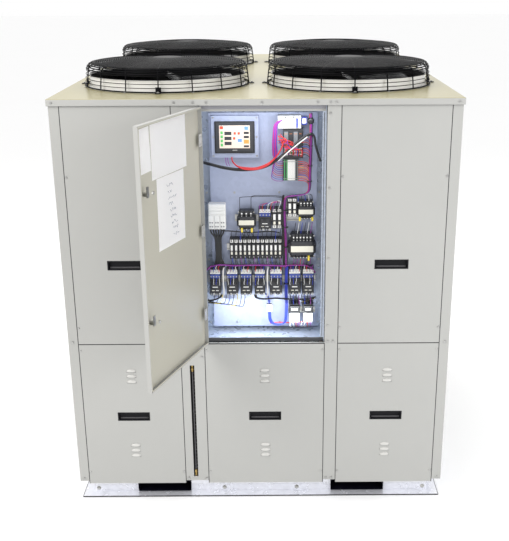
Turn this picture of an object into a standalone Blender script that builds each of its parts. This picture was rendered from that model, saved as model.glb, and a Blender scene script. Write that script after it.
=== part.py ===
"""Packaged air-cooled chiller with two scroll compressors, built piece by piece.

Metres, +Z up. The origin is the middle of the cabinet footprint on the floor,
+X is to the right seen from the front, and the front faces -Y.
"""
import math

import bmesh
import bpy
from mathutils import Matrix, Vector

# ---- overall sizes ---------------------------------------------------------
CAB_W = 1.986            # over the corner posts
CAB_D = 2.450            # front panel face to rear panel face
BASE_H = 0.120           # fork-lift base frame
SEAM_Z = 0.936           # joint between upper and lower panels
POST_TOP = 2.169
DECK_T = 0.033           # skirt height of the fan deck
GAP = 0.0004             # clearance between neighbouring pieces

# ---- base ------------------------------------------------------------------
BASE_INSET_Y = 0.027
CHANNEL_FLANGE = 0.064
CHANNEL_T = 0.005
FORK_X = 0.540           # fork pocket centre line
FORK_W = 0.295
FORK_H = 0.060
FORK_Z = 0.042
FORK_WALL = 0.004

# ---- cabinet front -----------------------------------------------------------
SHEET = 0.003
POST_FACE = 0.050
PANEL_DEPTH = 0.025
PANEL_GAP = 0.002
PANEL_SHEET = 0.002
LEFT_MID = (-0.409, -0.285)
RIGHT_MID = (0.343, 0.410)
MID_RETURN = 0.030
PANEL_BOTTOM = 0.104
HANDLE_W, HANDLE_H, HANDLE_DEPTH = 0.166, 0.044, 0.024
UPPER_HANDLE_Z, LOWER_HANDLE_Z = 1.368, 0.515
LOUVRE_W, LOUVRE_PITCH, LOUVRE_SLOT = 0.050, 0.031, 0.008
LOUVRE_ROWS = (0.748, 0.306)
GAUGE_X, GAUGE_Z0, GAUGE_Z1, GAUGE_SLOT = -0.354, 0.145, 0.813, 0.024

# ---- door and electrical compartment ----------------------------------------
DOOR_W, DOOR_Z0, DOOR_Z1, DOOR_T = 0.620, 0.940, 2.165, 0.022
DOOR_OPEN_DEG = 110.8
LATCH_S, LATCH_Z = 0.580, (1.274, 1.866)
ENC_DEPTH = 0.200
LIP = 0.020
PLATE_Y = ENC_DEPTH - 0.015    # mounting plate behind the front face

# ---- fans --------------------------------------------------------------------
FAN_X = 0.487
FAN_SETBACK = 0.425      # front fan centres behind the electrical box
FAN_Y = CAB_D / 2.0 - ENC_DEPTH - FAN_SETBACK
HEADER_Y = -(FAN_Y + 0.150)       # coil headers, clear of the front fans' collars
COLLAR_R, COLLAR_UP, COLLAR_DOWN = 0.412, 0.060, 0.085
GUARD_R, GUARD_H, GUARD_T = 0.436, 0.140, 0.004
ROTOR_R, HUB_R, BLADES = 0.392, 0.095, 5
ROTOR_Z = 2.086
MOTOR_R, MOTOR_H = 0.080, 0.120

# ---- scroll compressors --------------------------------------------------------
COMP_AT = ((0.350, -0.750), (0.720, -0.750))
COMP_Z = 0.1245
TANK_DROP = 0.096        # tank body below the joint of the panels
SHELL_R, SHELL_WALL, SHELL_H = 0.118, 0.0055, 0.500
INVOLUTE_R = 0.0045      # base circle of the scroll wraps
WRAP_T = 0.0045
ORBIT_R = math.pi * INVOLUTE_R - WRAP_T - 0.0010

for old in list(bpy.data.objects):
    bpy.data.objects.remove(old, do_unlink=True)

tools = bpy.data.collections.new("cutters")
bpy.context.scene.collection.children.link(tools)
tools.hide_render = True
parts = bpy.data.collections.new("air_cooled_chiller")
bpy.context.scene.collection.children.link(parts)

FRONT = -CAB_D / 2.0
REAR = CAB_D / 2.0
DECK_TOP = POST_TOP + DECK_T


# ---- helpers -------------------------------------------------------------------
def paint(name, rgb, metallic=0.0, roughness=0.5):
    mat = bpy.data.materials.new(name)
    mat.use_nodes = True
    bsdf = mat.node_tree.nodes["Principled BSDF"]
    bsdf.inputs["Base Color"].default_value = (*rgb, 1.0)
    bsdf.inputs["Metallic"].default_value = metallic
    bsdf.inputs["Roughness"].default_value = roughness
    return mat


def link(name, bm, mat=None, origin=(0.0, 0.0, 0.0), cutter=False):
    """Turn a bmesh built in world metres into an object with the given origin."""
    bmesh.ops.translate(bm, verts=bm.verts, vec=-Vector(origin))
    bmesh.ops.recalc_face_normals(bm, faces=bm.faces)
    mesh = bpy.data.meshes.new(name)
    bm.to_mesh(mesh)
    bm.free()
    ob = bpy.data.objects.new(name, mesh)
    ob.location = origin
    if cutter:
        tools.objects.link(ob)
        ob.display_type = "WIRE"
        ob.hide_render = True
    else:
        parts.objects.link(ob)
        mesh.materials.append(mat)
    return ob


def boxes(*sizes):
    """Boxes given as x0, x1, y0, y1, z0, z1, all in one mesh."""
    bm = bmesh.new()
    for x0, x1, y0, y1, z0, z1 in sizes:
        place = Matrix.Translation(((x0 + x1) / 2, (y0 + y1) / 2, (z0 + z1) / 2))
        bmesh.ops.create_cube(bm, size=1.0, matrix=place @ Matrix.Diagonal((x1 - x0, y1 - y0, z1 - z0, 1.0)))
    return bm


def rods(radius, lo, hi, centres, segments, axis="Z"):
    """Round bars of one radius, from lo to hi along the axis, all in one mesh."""
    bm = bmesh.new()
    lean = Matrix.Rotation(math.radians(-90.0), 4, "X") if axis == "Y" else Matrix()
    for centre in centres:
        place = Matrix.Translation(centre) @ lean @ Matrix.Translation((0, 0, (lo + hi) / 2))
        bmesh.ops.create_cone(bm, cap_ends=True, segments=segments, radius1=radius, radius2=radius,
                              depth=hi - lo, matrix=place)
    return bm


def prism(outline, axis, lo, hi):
    """An outline in the plane across `axis`, extruded from lo to hi along it."""
    place = {"X": lambda a, b, c: (c, a, b), "Y": lambda a, b, c: (a, c, b),
             "Z": lambda a, b, c: (a, b, c)}[axis]
    bm = bmesh.new()
    face = bm.faces.new([bm.verts.new(place(a, b, lo)) for a, b in outline])
    grown = bmesh.ops.extrude_face_region(bm, geom=[face], use_keep_orig=True)
    moved = [item for item in grown["geom"] if isinstance(item, bmesh.types.BMVert)]
    bmesh.ops.translate(bm, verts=moved, vec=place(0.0, 0.0, hi - lo))
    return bm


def turned(name, chain, centre, segments, mat=None, axis="Z", cutter=False):
    """Profile of (radius, height) points with a Screw modifier, standing at `centre`."""
    area = sum(r0 * z1 - r1 * z0 for (r0, z0), (r1, z1) in zip(chain, chain[1:] + chain[:1]))
    points = chain[::-1] if area > 0.0 else chain
    bm = bmesh.new()
    line = [bm.verts.new((radius, 0.0, height)) for radius, height in points]
    for low, high in zip(line, line[1:]):
        bm.edges.new((low, high))
    if min(radius for radius, _ in chain) > 1e-6:
        bm.edges.new((line[-1], line[0]))
    ob = link(name, bm, mat, cutter=cutter)
    ob.location = centre
    if axis == "Y":
        ob.rotation_euler.x = math.radians(-90.0)
    lathe = ob.modifiers.new("lathe", "SCREW")
    lathe.steps = lathe.render_steps = segments
    lathe.use_merge_vertices = True
    lathe.merge_threshold = 0.00005
    return ob


def pipe(name, points, radius, mat=None, cutter=False):
    """Round bar along a polyline: a bevelled curve with filled caps, made a mesh."""
    curve = bpy.data.curves.new(name, "CURVE")
    curve.dimensions = "3D"
    curve.bevel_depth = radius
    curve.bevel_resolution = 1
    curve.use_fill_caps = True
    spline = curve.splines.new("POLY")
    spline.points.add(len(points) - 1)
    for point, place in zip(spline.points, points):
        point.co = (*place, 1.0)
    guide = bpy.data.objects.new(name + "_curve", curve)
    tools.objects.link(guide)
    bpy.context.view_layer.update()
    mesh = bpy.data.meshes.new_from_object(guide.evaluated_get(bpy.context.evaluated_depsgraph_get()))
    bpy.data.objects.remove(guide, do_unlink=True)
    bm = bmesh.new()
    bm.from_mesh(mesh)
    bmesh.ops.remove_doubles(bm, verts=bm.verts, dist=0.00001)
    return link(name, bm, mat, cutter=cutter)


def combine(ob, tool, operation="DIFFERENCE"):
    """Cut or weld another shape with an exact Boolean."""
    if isinstance(tool, bmesh.types.BMesh):
        tool = link(ob.name + "_tool", tool, cutter=True)
    step = ob.modifiers.new(operation.lower(), "BOOLEAN")
    step.solver = "EXACT"
    step.operation = operation
    step.object = tool
    return ob


# ---- base frame and floor --------------------------------------------------------
def channel_ring(half_x, half_y):
    """Four mitred channels, open to the outside."""
    f, t, h = CHANNEL_FLANGE, CHANNEL_T, BASE_H
    section = ((0, 0), (0, t), (f - t, t), (f - t, h - t), (0, h - t), (0, h), (f, h), (f, 0))
    bm = bmesh.new()
    loops = []
    for inward, z in section:
        x, y = half_x - inward, half_y - inward
        loops.append([bm.verts.new(p) for p in ((-x, -y, z), (x, -y, z), (x, y, z), (-x, y, z))])
    for i, low in enumerate(loops):
        high = loops[(i + 1) % len(loops)]
        for k in range(4):
            j = (k + 1) % 4
            bm.faces.new((low[k], low[j], high[j], high[k]))
    return bm


base_half_x = CAB_W / 2.0 - 0.001
base_half_y = CAB_D / 2.0 - BASE_INSET_Y
web_y = base_half_y - CHANNEL_FLANGE
fork_z0, fork_z1 = FORK_Z - FORK_H / 2.0, FORK_Z + FORK_H / 2.0
base = link("base_frame", channel_ring(base_half_x, base_half_y),
            paint("galvanised_base", (0.62, 0.64, 0.66), 0.8, 0.4))
tubes, bores = [], []
for side in (-1, 1):
    x0, x1 = side * FORK_X - FORK_W / 2.0, side * FORK_X + FORK_W / 2.0
    w = FORK_WALL
    tubes.append((x0 - w, x1 + w, -web_y - 0.002, web_y + 0.002, fork_z0 - w, fork_z1 + w))
    bores.append((x0, x1, -CAB_D, CAB_D, fork_z0, fork_z1))
cross = (-base_half_x + CHANNEL_FLANGE - 0.002, base_half_x - CHANNEL_FLANGE + 0.002, -0.06, 0.06, 0.0, 0.016)
combine(base, boxes(cross), "UNION")
combine(base, boxes(*tubes), "UNION")
combine(base, boxes(*bores))

floor_top = BASE_H + GAP + SHEET
link("floor_pan", boxes((-CAB_W / 2 + 0.012, CAB_W / 2 - 0.012, FRONT + 0.036, REAR - 0.036,
                         BASE_H + GAP, floor_top)),
     paint("floor_sheet", (0.60, 0.62, 0.64), 0.7, 0.45))

# ---- posts -----------------------------------------------------------------------
CREAM = (0.70, 0.68, 0.61)
half_w = CAB_W / 2.0
for name, sx, sy in (("corner_post_front_left", -1, -1), ("corner_post_front_right", 1, -1),
                     ("corner_post_rear_left", -1, 1), ("corner_post_rear_right", 1, 1)):
    fx, fy, t = half_w, CAB_D / 2.0, SHEET
    ell = ((fx, fy), (fx - POST_FACE, fy), (fx - POST_FACE, fy - t), (fx - t, fy - t),
           (fx - t, fy - POST_FACE), (fx, fy - POST_FACE))
    link(name, prism([(a * sx, b * sy) for a, b in ell], "Z", BASE_H + GAP, POST_TOP - GAP),
         paint(name + "_paint", CREAM, 0.0, 0.45))


def mid_post(name, x0, x1, outer, inward):
    """Channel-shaped post; `inward` is +1 when the inside lies toward +Y."""
    t, r = SHEET, MID_RETURN
    y0, y1, y2 = outer, outer + inward * t, outer + inward * r
    section = ((x0, y0), (x1, y0), (x1, y2), (x1 - t, y2), (x1 - t, y1), (x0 + t, y1), (x0 + t, y2), (x0, y2))
    return link(name, prism(section, "Z", BASE_H + GAP, POST_TOP - GAP),
                paint(name + "_paint", CREAM, 0.0, 0.45))


left_post = mid_post("front_mid_post_left", *LEFT_MID, FRONT, 1)
combine(left_post, boxes((GAUGE_X - GAUGE_SLOT / 2, GAUGE_X + GAUGE_SLOT / 2, FRONT - 0.01, FRONT + 0.01,
                          GAUGE_Z0, GAUGE_Z1)))
mid_post("front_mid_post_right", *RIGHT_MID, FRONT, 1)
mid_post("rear_mid_post", -0.034, 0.034, REAR, -1)


# ---- access panels -----------------------------------------------------------------
def tray(name, x0, x1, z0, z1, face, inward, rgb=CREAM, handle_z=None, louvres=(), depth=PANEL_DEPTH):
    """Folded sheet panel: outside face at `face`, returns pointing inward."""
    t = PANEL_SHEET
    near, far = sorted((face, face + inward * depth))
    ob = link(name, boxes((x0, x1, near, far, z0, z1)), paint(name + "_paint", rgb, 0.0, 0.45))
    inner = sorted((face + inward * t, face + inward * (depth + 0.01)))
    combine(ob, boxes((x0 + t, x1 - t, *inner, z0 + t, z1 - t)))
    centre = (x0 + x1) / 2.0
    if handle_z:
        a, b, d = HANDLE_W / 2.0, HANDLE_H / 2.0, HANDLE_DEPTH
        block = sorted((face + inward * t / 2, face + inward * d))
        cup_box = (centre - a - t, centre + a + t, *block, handle_z - b - t, handle_z + b + t)
        combine(ob, boxes(cup_box), "UNION")
        pocket = sorted((face - inward * 0.01, face + inward * (d - t)))
        combine(ob, boxes((centre - a, centre + a, *pocket, handle_z - b, handle_z + b)))
    if louvres:
        cuts = []
        through = sorted((face - inward * 0.01, face + inward * 0.01))
        for row in louvres:
            for k in (-1, 0, 1):
                z = row + k * LOUVRE_PITCH
                cuts.append((centre - LOUVRE_W / 2, centre + LOUVRE_W / 2, *through,
                             z - LOUVRE_SLOT / 2, z + LOUVRE_SLOT / 2))
        combine(ob, boxes(*cuts))
    return ob


bay_left = (-half_w + POST_FACE + PANEL_GAP, LEFT_MID[0] - PANEL_GAP)
bay_centre = (LEFT_MID[1] + PANEL_GAP, RIGHT_MID[0] - PANEL_GAP)
bay_right = (RIGHT_MID[1] + PANEL_GAP, half_w - POST_FACE - PANEL_GAP)
upper_z = (SEAM_Z + PANEL_GAP, POST_TOP - PANEL_GAP)
lower_z = (PANEL_BOTTOM, SEAM_Z - PANEL_GAP)
tray("upper_left_panel", *bay_left, *upper_z, FRONT, 1, handle_z=UPPER_HANDLE_Z)
tray("upper_right_panel", *bay_right, *upper_z, FRONT, 1, handle_z=UPPER_HANDLE_Z)
for name, bay in (("lower_left_panel", bay_left), ("lower_center_panel", bay_centre),
                  ("lower_right_panel", bay_right)):
    tray(name, *bay, *lower_z, FRONT, 1, handle_z=LOWER_HANDLE_Z, louvres=LOUVRE_ROWS)

rear_z = (BASE_H + 0.004, POST_TOP - PANEL_GAP)
tray("rear_left_panel", -half_w + POST_FACE + PANEL_GAP, -0.034 - PANEL_GAP, *rear_z, REAR, -1)
tray("rear_right_panel", 0.034 + PANEL_GAP, half_w - POST_FACE - PANEL_GAP, *rear_z, REAR, -1)
WATER_X, WATER_Z = -0.500, 0.560
combine(bpy.data.objects["rear_left_panel"],
        rods(0.050, -0.05, 0.05, [(WATER_X, REAR, WATER_Z)], 20, "Y"))

side_y = CAB_D / 2.0 - POST_FACE - PANEL_GAP
for name, side in (("left_side_panel", -1), ("right_side_panel", 1)):
    outer, inner = side * half_w, side * (half_w - PANEL_DEPTH)
    x0, x1 = sorted((outer, inner))
    ob = link(name, boxes((x0, x1, -side_y, side_y, rear_z[0], lower_z[1])),
              paint(name + "_paint", CREAM, 0.0, 0.45))
    c0, c1 = sorted((outer - side * PANEL_SHEET, inner - side * 0.01))
    t = PANEL_SHEET
    combine(ob, boxes((c0, c1, -side_y + t, side_y - t, rear_z[0] + t, lower_z[1] - t)))

# ---- electrical door and latches ------------------------------------------------------
hinge = Vector((LEFT_MID[1] + 0.004, FRONT, 0.0))
swing = Matrix.Rotation(math.radians(-DOOR_OPEN_DEG), 4, "Z")


def on_door(ob):
    ob.matrix_world = Matrix.Translation(hinge) @ swing @ Matrix.Translation(-hinge) @ ob.matrix_world
    return ob


door = tray("door", hinge.x, hinge.x + DOOR_W, DOOR_Z0, DOOR_Z1, FRONT, 1, depth=DOOR_T)
combine(door, rods(0.0108, -0.01, 0.01, [(hinge.x + LATCH_S, FRONT, z) for z in LATCH_Z], 12, "Y"))
for step in door.modifiers:
    on_door(step.object)
door_at = hinge + Vector((0.0, 0.0, DOOR_Z0))
door.data.transform(Matrix.Translation(-door_at))
door.location = door_at
bpy.context.view_layer.update()
on_door(door)

for name, z in zip(("door_latch_lower", "door_latch_upper"), LATCH_Z):
    at = (hinge.x + LATCH_S, FRONT, z)
    spindle = ((0, -0.003), (0.013, -0.003), (0.013, -GAP), (0.010, -GAP), (0.010, 0.034), (0, 0.034))
    latch = turned(name, spindle, at, 12, paint(name + "_steel", (0.55, 0.55, 0.56), 1.0, 0.35), "Y")
    combine(latch, boxes((at[0] - 0.009, at[0] + 0.009, FRONT + 0.0300, FRONT + 0.0330,
                          z - 0.012, z + 0.036)),
                  "UNION")
    on_door(latch.modifiers["union"].object)
    bpy.context.view_layer.update()
    on_door(latch)

# ---- electrical compartment ---------------------------------------------------------------
ex0, ex1 = LEFT_MID[1] + 0.0025, RIGHT_MID[0] - 0.0025
ey0, ey1 = FRONT + 0.0262, FRONT + 0.0262 + ENC_DEPTH
ez0, ez1 = SEAM_Z + 0.003, POST_TOP - 0.001
s = PANEL_SHEET
enclosure = link("electrical_enclosure", boxes((ex0, ex1, ey0, ey1, ez0, ez1)),
                 paint("enclosure_galvanised", (0.66, 0.68, 0.72), 0.7, 0.4))
combine(enclosure, boxes((ex0 + s, ex1 - s, ey0 + s, ey1 - s, ez0 + s, ez1 - s)))
combine(enclosure, boxes((ex0 + LIP, ex1 - LIP, ey0 - 0.01, ey0 + 2 * s, ez0 + 0.022, ez1 - 0.032)))

py = FRONT + PLATE_Y
link("mounting_plate", boxes((-0.243, 0.303, py, py + 0.003, 0.962, 2.108)),
     paint("mounting_plate_zinc", (0.62, 0.66, 0.74), 0.8, 0.35))


def device(name, x0, x1, z0, z1, depth, rgb, extra=(), metallic=0.0, roughness=0.4):
    """Component standing on the mounting plate, with optional raised blocks."""
    ob = link(name, boxes((x0, x1, py - GAP - depth, py - GAP, z0, z1)),
              paint(name + "_body", rgb, metallic, roughness))
    if extra:
        steps = [(a, b, py - GAP - d, py - GAP - depth / 2, c, e) for a, b, c, e, d in extra]
        combine(ob, boxes(*steps), "UNION")
    return ob


device("touchscreen", -0.230, 0.008, 1.883, 2.095, 0.020, (0.75, 0.76, 0.76),
       ((-0.213, -0.012, 1.907, 2.068, 0.030),), 0.6, 0.35)
device("controller", 0.104, 0.238, 1.880, 2.100, 0.045, (0.12, 0.12, 0.13),
       ((0.106, 0.219, 2.037, 2.098, 0.062), (0.127, 0.209, 1.890, 1.950, 0.055)))
device("power_block", -0.254, -0.165, 1.520, 1.652, 0.070, (0.82, 0.82, 0.80))
device("transformer_left", -0.108, -0.010, 1.507, 1.622, 0.060, (0.60, 0.60, 0.58),
       ((-0.098, -0.020, 1.530, 1.608, 0.078),))
device("transformer_right", 0.199, 0.292, 1.563, 1.672, 0.055, (0.60, 0.60, 0.58),
       ((0.209, 0.282, 1.586, 1.658, 0.070),))
device("transformer_large", 0.154, 0.298, 1.356, 1.502, 0.075, (0.60, 0.60, 0.58),
       ((0.170, 0.282, 1.382, 1.484, 0.095),))
device("fuse_bank", -0.149, 0.124, 1.357, 1.467, 0.050, (0.30, 0.31, 0.32),
       [(-0.147 + k * 0.0225, -0.129 + k * 0.0225, 1.375, 1.450, 0.062) for k in range(12)])
contactors = device("contactor_row", -0.258, 0.292, 1.230, 1.242, 0.008, (0.60, 0.62, 0.66), (), 0.6, 0.4)
spans = ((-0.256, -0.198), (-0.168, -0.108), (-0.096, -0.035), (-0.022, 0.034),
         (0.058, 0.124), (0.156, 0.221), (0.229, 0.290))
bodies = [(a, b, py - GAP - 0.085, py - GAP - 0.003, 1.162, 1.311) for a, b in spans]
combine(contactors, boxes(*bodies), "UNION")

# ---- level gauge ----------------------------------------------------------------------------
gy = FRONT + 0.0115
rise = GAUGE_Z1 - GAUGE_Z0
chain = ((0, 0.0005), (0.011, 0.0005), (0.011, 0.035), (0.007, 0.042), (0.007, rise - 0.066),
         (0.011, rise - 0.060), (0.011, rise - 0.0005), (0, rise - 0.0005))
gauge = turned("level_gauge", chain, (GAUGE_X, gy, GAUGE_Z0), 12,
               paint("gauge_brass", (0.60, 0.45, 0.18), 1.0, 0.3))
arm = (GAUGE_X - 0.007, GAUGE_X + 0.007, gy, FRONT + 0.0545)
combine(gauge, boxes((*arm, GAUGE_Z0 + 0.008, GAUGE_Z0 + 0.024), (*arm, GAUGE_Z1 - 0.030, GAUGE_Z1 - 0.014)),
        "UNION")

# ---- fan deck, guards, rotors and motors -----------------------------------------------------
deck_x, deck_y = CAB_W / 2.0 + 0.007, CAB_D / 2.0 + 0.014
deck = link("fan_deck", boxes((-deck_x, deck_x, -deck_y, deck_y, POST_TOP, DECK_TOP)),
            paint("deck_paint", (0.72, 0.69, 0.56), 0.0, 0.4))
t = SHEET
combine(deck, boxes((-deck_x + t, deck_x - t, -deck_y + t, deck_y - t, POST_TOP - 0.01, DECK_TOP - t)))
fans = [("front_left", -FAN_X, -FAN_Y), ("front_right", FAN_X, -FAN_Y),
        ("rear_left", -FAN_X, FAN_Y), ("rear_right", FAN_X, FAN_Y)]
centres = [(x, y, DECK_TOP) for _, x, y in fans]
combine(deck, rods(COLLAR_R, -COLLAR_DOWN, COLLAR_UP, centres, 20), "UNION")
combine(deck, rods(COLLAR_R - 0.004, -COLLAR_DOWN - 0.05, COLLAR_UP + 0.05, centres, 20))


def guard_cage():
    """Thin domed cage with eight ribs and rings, as a sheet to be thickened."""
    ribs = 8
    turns = []
    for k in range(ribs):
        middle = 2.0 * math.pi * k / ribs
        half = math.radians(1.3)
        turns += [(middle - half, True), (middle + half, False), (middle + math.pi / ribs, False)]
    rows = ((GUARD_R, 0.0), (GUARD_R, 0.012),
            (GUARD_R - 0.012, GUARD_H - 0.034), (GUARD_R - 0.020, GUARD_H - 0.022),
            (GUARD_R - 0.045, GUARD_H - 0.012), (0.105, GUARD_H - 0.001))
    whole_rows = (True, False, True, True, False)
    bm = bmesh.new()
    ring = bmesh.ops.create_circle(bm, segments=len(turns), radius=GUARD_R)["verts"]
    edges = list(bm.edges)
    windows = []
    for row, (radius, height) in enumerate(rows):
        for vert, (angle, _) in zip(ring, turns):
            vert.co = (radius * math.cos(angle), radius * math.sin(angle), height)
        if row == len(rows) - 1:
            bmesh.ops.contextual_create(bm, geom=edges)
            break
        grown = bmesh.ops.extrude_edge_only(bm, edges=edges)["geom"]
        faces = [item for item in grown if isinstance(item, bmesh.types.BMFace)]
        follow = {vert: next(e.other_vert(vert) for e in vert.link_edges if e.other_vert(vert) in grown)
                  for vert in ring}
        if not whole_rows[row]:
            open_ends = [{ring[j], ring[(j + 1) % len(ring)]} for j, (_, rib) in enumerate(turns) if not rib]
            windows += [face for face in faces if any(pair <= set(face.verts) for pair in open_ends)]
        edges = [item for item in grown if isinstance(item, bmesh.types.BMEdge)]
        ring = [follow[vert] for vert in ring]
    bmesh.ops.delete(bm, geom=windows, context="FACES")
    return bm


def blade(index):
    """One twisted blade from inside the hub to the tip."""
    bm = bmesh.new()
    turn = 2.0 * math.pi * index / BLADES
    middle = ROTOR_Z + 0.055
    stations = ((HUB_R - 0.014, 0.130, 38.0), (0.60 * ROTOR_R, 0.170, 29.0), (ROTOR_R, 0.200, 22.0))
    loops = []
    for radius, chord, pitch in stations:
        lean = math.radians(pitch)
        loop = []
        for across, up in ((-0.5, -1), (0.5, -1), (0.5, 1), (-0.5, 1)):
            run = across * chord * math.cos(lean) - up * 0.002 * math.sin(lean)
            rise = across * chord * math.sin(lean) + up * 0.002 * math.cos(lean)
            sweep = turn + run / radius * (0.9 if radius > HUB_R else 0.6)
            loop.append(bm.verts.new((radius * math.cos(sweep), radius * math.sin(sweep), middle + rise)))
        loops.append(loop)
    for low, high in zip(loops, loops[1:]):
        for k in range(4):
            j = (k + 1) % 4
            bm.faces.new((low[k], low[j], high[j]))
            bm.faces.new((low[k], high[j], high[k]))
    for quad in (loops[0], loops[-1]):
        bm.faces.new(quad[:3])
        bm.faces.new((quad[0], quad[2], quad[3]))
    return bm


for name, x, y in fans:
    cage = guard_cage()
    guard = link("fan_guard_" + name, cage, paint("guard_wire_" + name, (0.03, 0.03, 0.03), 0.3, 0.3))
    guard.location = (x, y, DECK_TOP + GAP)
    thick = guard.modifiers.new("wire", "SOLIDIFY")
    thick.thickness = GUARD_T
    thick.offset = 1.0

    hub = ((0, 0.110), (HUB_R, 0.110), (HUB_R, 0.0), (0.012, 0.0), (0.012, -0.050), (0, -0.050))
    at = (x, y, ROTOR_Z)
    rotor = turned("fan_rotor_" + name, hub, at, 20,
                   paint("rotor_paint_" + name, (0.05, 0.05, 0.055), 0.2, 0.4))
    wings = bmesh.new()
    for k in range(BLADES):
        one = blade(k)
        mesh = bpy.data.meshes.new("blade")
        one.to_mesh(mesh)
        one.free()
        wings.from_mesh(mesh)
        bpy.data.meshes.remove(mesh)
    bmesh.ops.translate(wings, verts=wings.verts, vec=(x, y, 0))
    combine(rotor, wings, "UNION")

    top = ROTOR_Z - 0.004
    body = ((0, top - 0.056), (0.0128, top - 0.056), (0.0128, top), (MOTOR_R, top), (MOTOR_R, top - MOTOR_H),
            (0, top - MOTOR_H))
    motor = turned("fan_motor_" + name, body, (x, y, 0), 20,
                   paint("motor_paint_" + name, (0.08, 0.08, 0.09), 0.4, 0.45))
    reach, arm, low = COLLAR_R + 0.040, 0.008, top - MOTOR_H + 0.010
    high = DECK_TOP - SHEET - GAP
    stirrup = ((-reach, high), (-reach, low), (reach, low), (reach, high), (reach - arm, high),
               (reach - arm, low + arm), (-reach + arm, low + arm), (-reach + arm, high))
    for turn in (45.0, 135.0):
        bar = prism(stirrup, "Y", -0.020, 0.020)
        bmesh.ops.rotate(bar, verts=bar.verts, matrix=Matrix.Rotation(math.radians(turn), 3, "Z"))
        bmesh.ops.translate(bar, verts=bar.verts, vec=(x, y, 0))
        combine(motor, bar, "UNION")

# ---- condenser coils ---------------------------------------------------------------------------
coil_z = (SEAM_Z + 0.020, POST_TOP - 0.030)
for name, side in (("condenser_coil_left", -1), ("condenser_coil_right", 1)):
    x0, x1 = sorted((side * (half_w - 0.030), side * (half_w - 0.085)))
    coil = link(name, boxes((x0, x1, -side_y + 0.010, side_y - 0.010, *coil_z)),
                paint(name + "_fins", (0.55, 0.56, 0.57), 0.8, 0.5))
    combine(coil, rods(0.020, *coil_z, [(side * (half_w - 0.098), HEADER_Y, 0)], 12), "UNION")


# ---- scroll compressors ----------------------------------------------------------------------------
def wrap(centre, half_turn, lo, hi):
    """Involute scroll wall of constant thickness."""
    spread = WRAP_T / (2.0 * INVOLUTE_R)
    steps = 46
    start, end = 3.6, 5.0 * math.pi
    sides = []
    for offset in (-spread, spread):
        line = []
        for k in range(steps + 1):
            phi = start + (end - start) * k / steps
            u = phi + offset
            a = INVOLUTE_R * (math.cos(phi) + u * math.sin(phi))
            b = INVOLUTE_R * (math.sin(phi) - u * math.cos(phi))
            sign = -1.0 if half_turn else 1.0
            line.append((centre[0] + sign * a, centre[1] + sign * b))
        sides.append(line)
    return prism(sides[0] + sides[1][::-1], "Z", lo, hi)


for letter, (cx, cy) in zip("ab", COMP_AT):
    z0, r, w = COMP_Z, SHELL_R, SHELL_WALL
    inner = r - w
    chain = ((0, 0), (r + 0.032, 0), (r + 0.032, 0.010), (r, 0.012), (r, 0.440), (r - 0.018, 0.475),
             (0.050, 0.495), (0.022, SHELL_H), (0.012, SHELL_H), (0.012, 0.489), (0.045, 0.488),
             (inner - 0.016, 0.468), (inner, 0.435), (inner, 0.325),
             (0.0212, 0.325), (0.0212, 0.292), (inner, 0.292),
             (inner, 0.275), (0.062, 0.275), (0.062, 0.100), (inner, 0.100), (inner, 0.030), (0.032, 0.030),
             (0.032, 0.060), (0.0160, 0.060), (0.0160, 0.033), (0, 0.033))
    turned(f"compressor_{letter}_shell", chain, (cx, cy, z0), 16,
           paint(f"shell_{letter}", (0.02, 0.02, 0.022), 0.3, 0.35))
    shaft = ((0, 0.036), (0.015, 0.036), (0.015, 0.108), (0.058, 0.108), (0.058, 0.267), (0.0200, 0.267),
             (0.0200, 0.334), (0, 0.334))
    crank = turned(f"compressor_{letter}_crankshaft", shaft, (cx, cy, z0), 20,
                   paint(f"crank_{letter}", (0.5, 0.5, 0.5), 1.0, 0.35))
    combine(crank, rods(0.011, 0.330, 0.358, [(cx + ORBIT_R, cy, z0)], 16), "UNION")
    ox = cx + ORBIT_R
    disc = ((0, 0.370), (0.082, 0.370), (0.082, 0.362), (0.018, 0.362), (0.018, 0.336), (0.0118, 0.336),
            (0.0118, 0.360), (0, 0.360))
    orbit = turned(f"compressor_{letter}_orbiting_scroll", disc, (ox, cy, z0), 24,
                   paint(f"orbiting_{letter}", (0.6, 0.6, 0.6), 1.0, 0.4))
    combine(orbit, wrap((ox, cy), True, z0 + 0.368, z0 + 0.398), "UNION")
    plate = ((0.0060, 0.400), (0.112, 0.400), (0.112, 0.416), (0.0060, 0.416))
    fixed = turned(f"compressor_{letter}_fixed_scroll", plate, (cx, cy, z0), 16,
                   paint(f"fixed_{letter}", (0.45, 0.45, 0.46), 0.9, 0.5))
    combine(fixed, wrap((cx, cy), False, z0 + 0.3712, z0 + 0.402), "UNION")

# ---- evaporator tank, pump and pipes -------------------------------------------------------------------
tank_top = SEAM_Z - TANK_DROP
tank = link("evaporator_tank", boxes((-0.900, -0.150, FRONT + 0.055, -0.350, floor_top + GAP, tank_top)),
            paint("tank_insulation", (0.03, 0.03, 0.03), 0.0, 0.8))
combine(tank, boxes((-0.915, -0.135, FRONT + 0.042, -0.335, tank_top - 0.002, tank_top + 0.022)), "UNION")

pump_x, pump_z = WATER_X, 0.290
volute = ((0, 0.0), (0.130, 0.0), (0.130, 0.090), (0.092, 0.100), (0.092, 0.370), (0.070, 0.385), (0, 0.385))
pump_paint = paint("pump_paint", (0.05, 0.15, 0.35), 0.1, 0.4)
pump = turned("water_pump", volute, (pump_x, 0.05, pump_z), 20, pump_paint, "Y")
combine(pump, rods(0.032, -0.3846, 0.010, [(pump_x, 0.05, pump_z)], 12, "Y"), "UNION")
combine(pump, boxes((pump_x - 0.10, pump_x + 0.10, 0.14, 0.40, floor_top + GAP, pump_z - 0.070)), "UNION")

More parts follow.
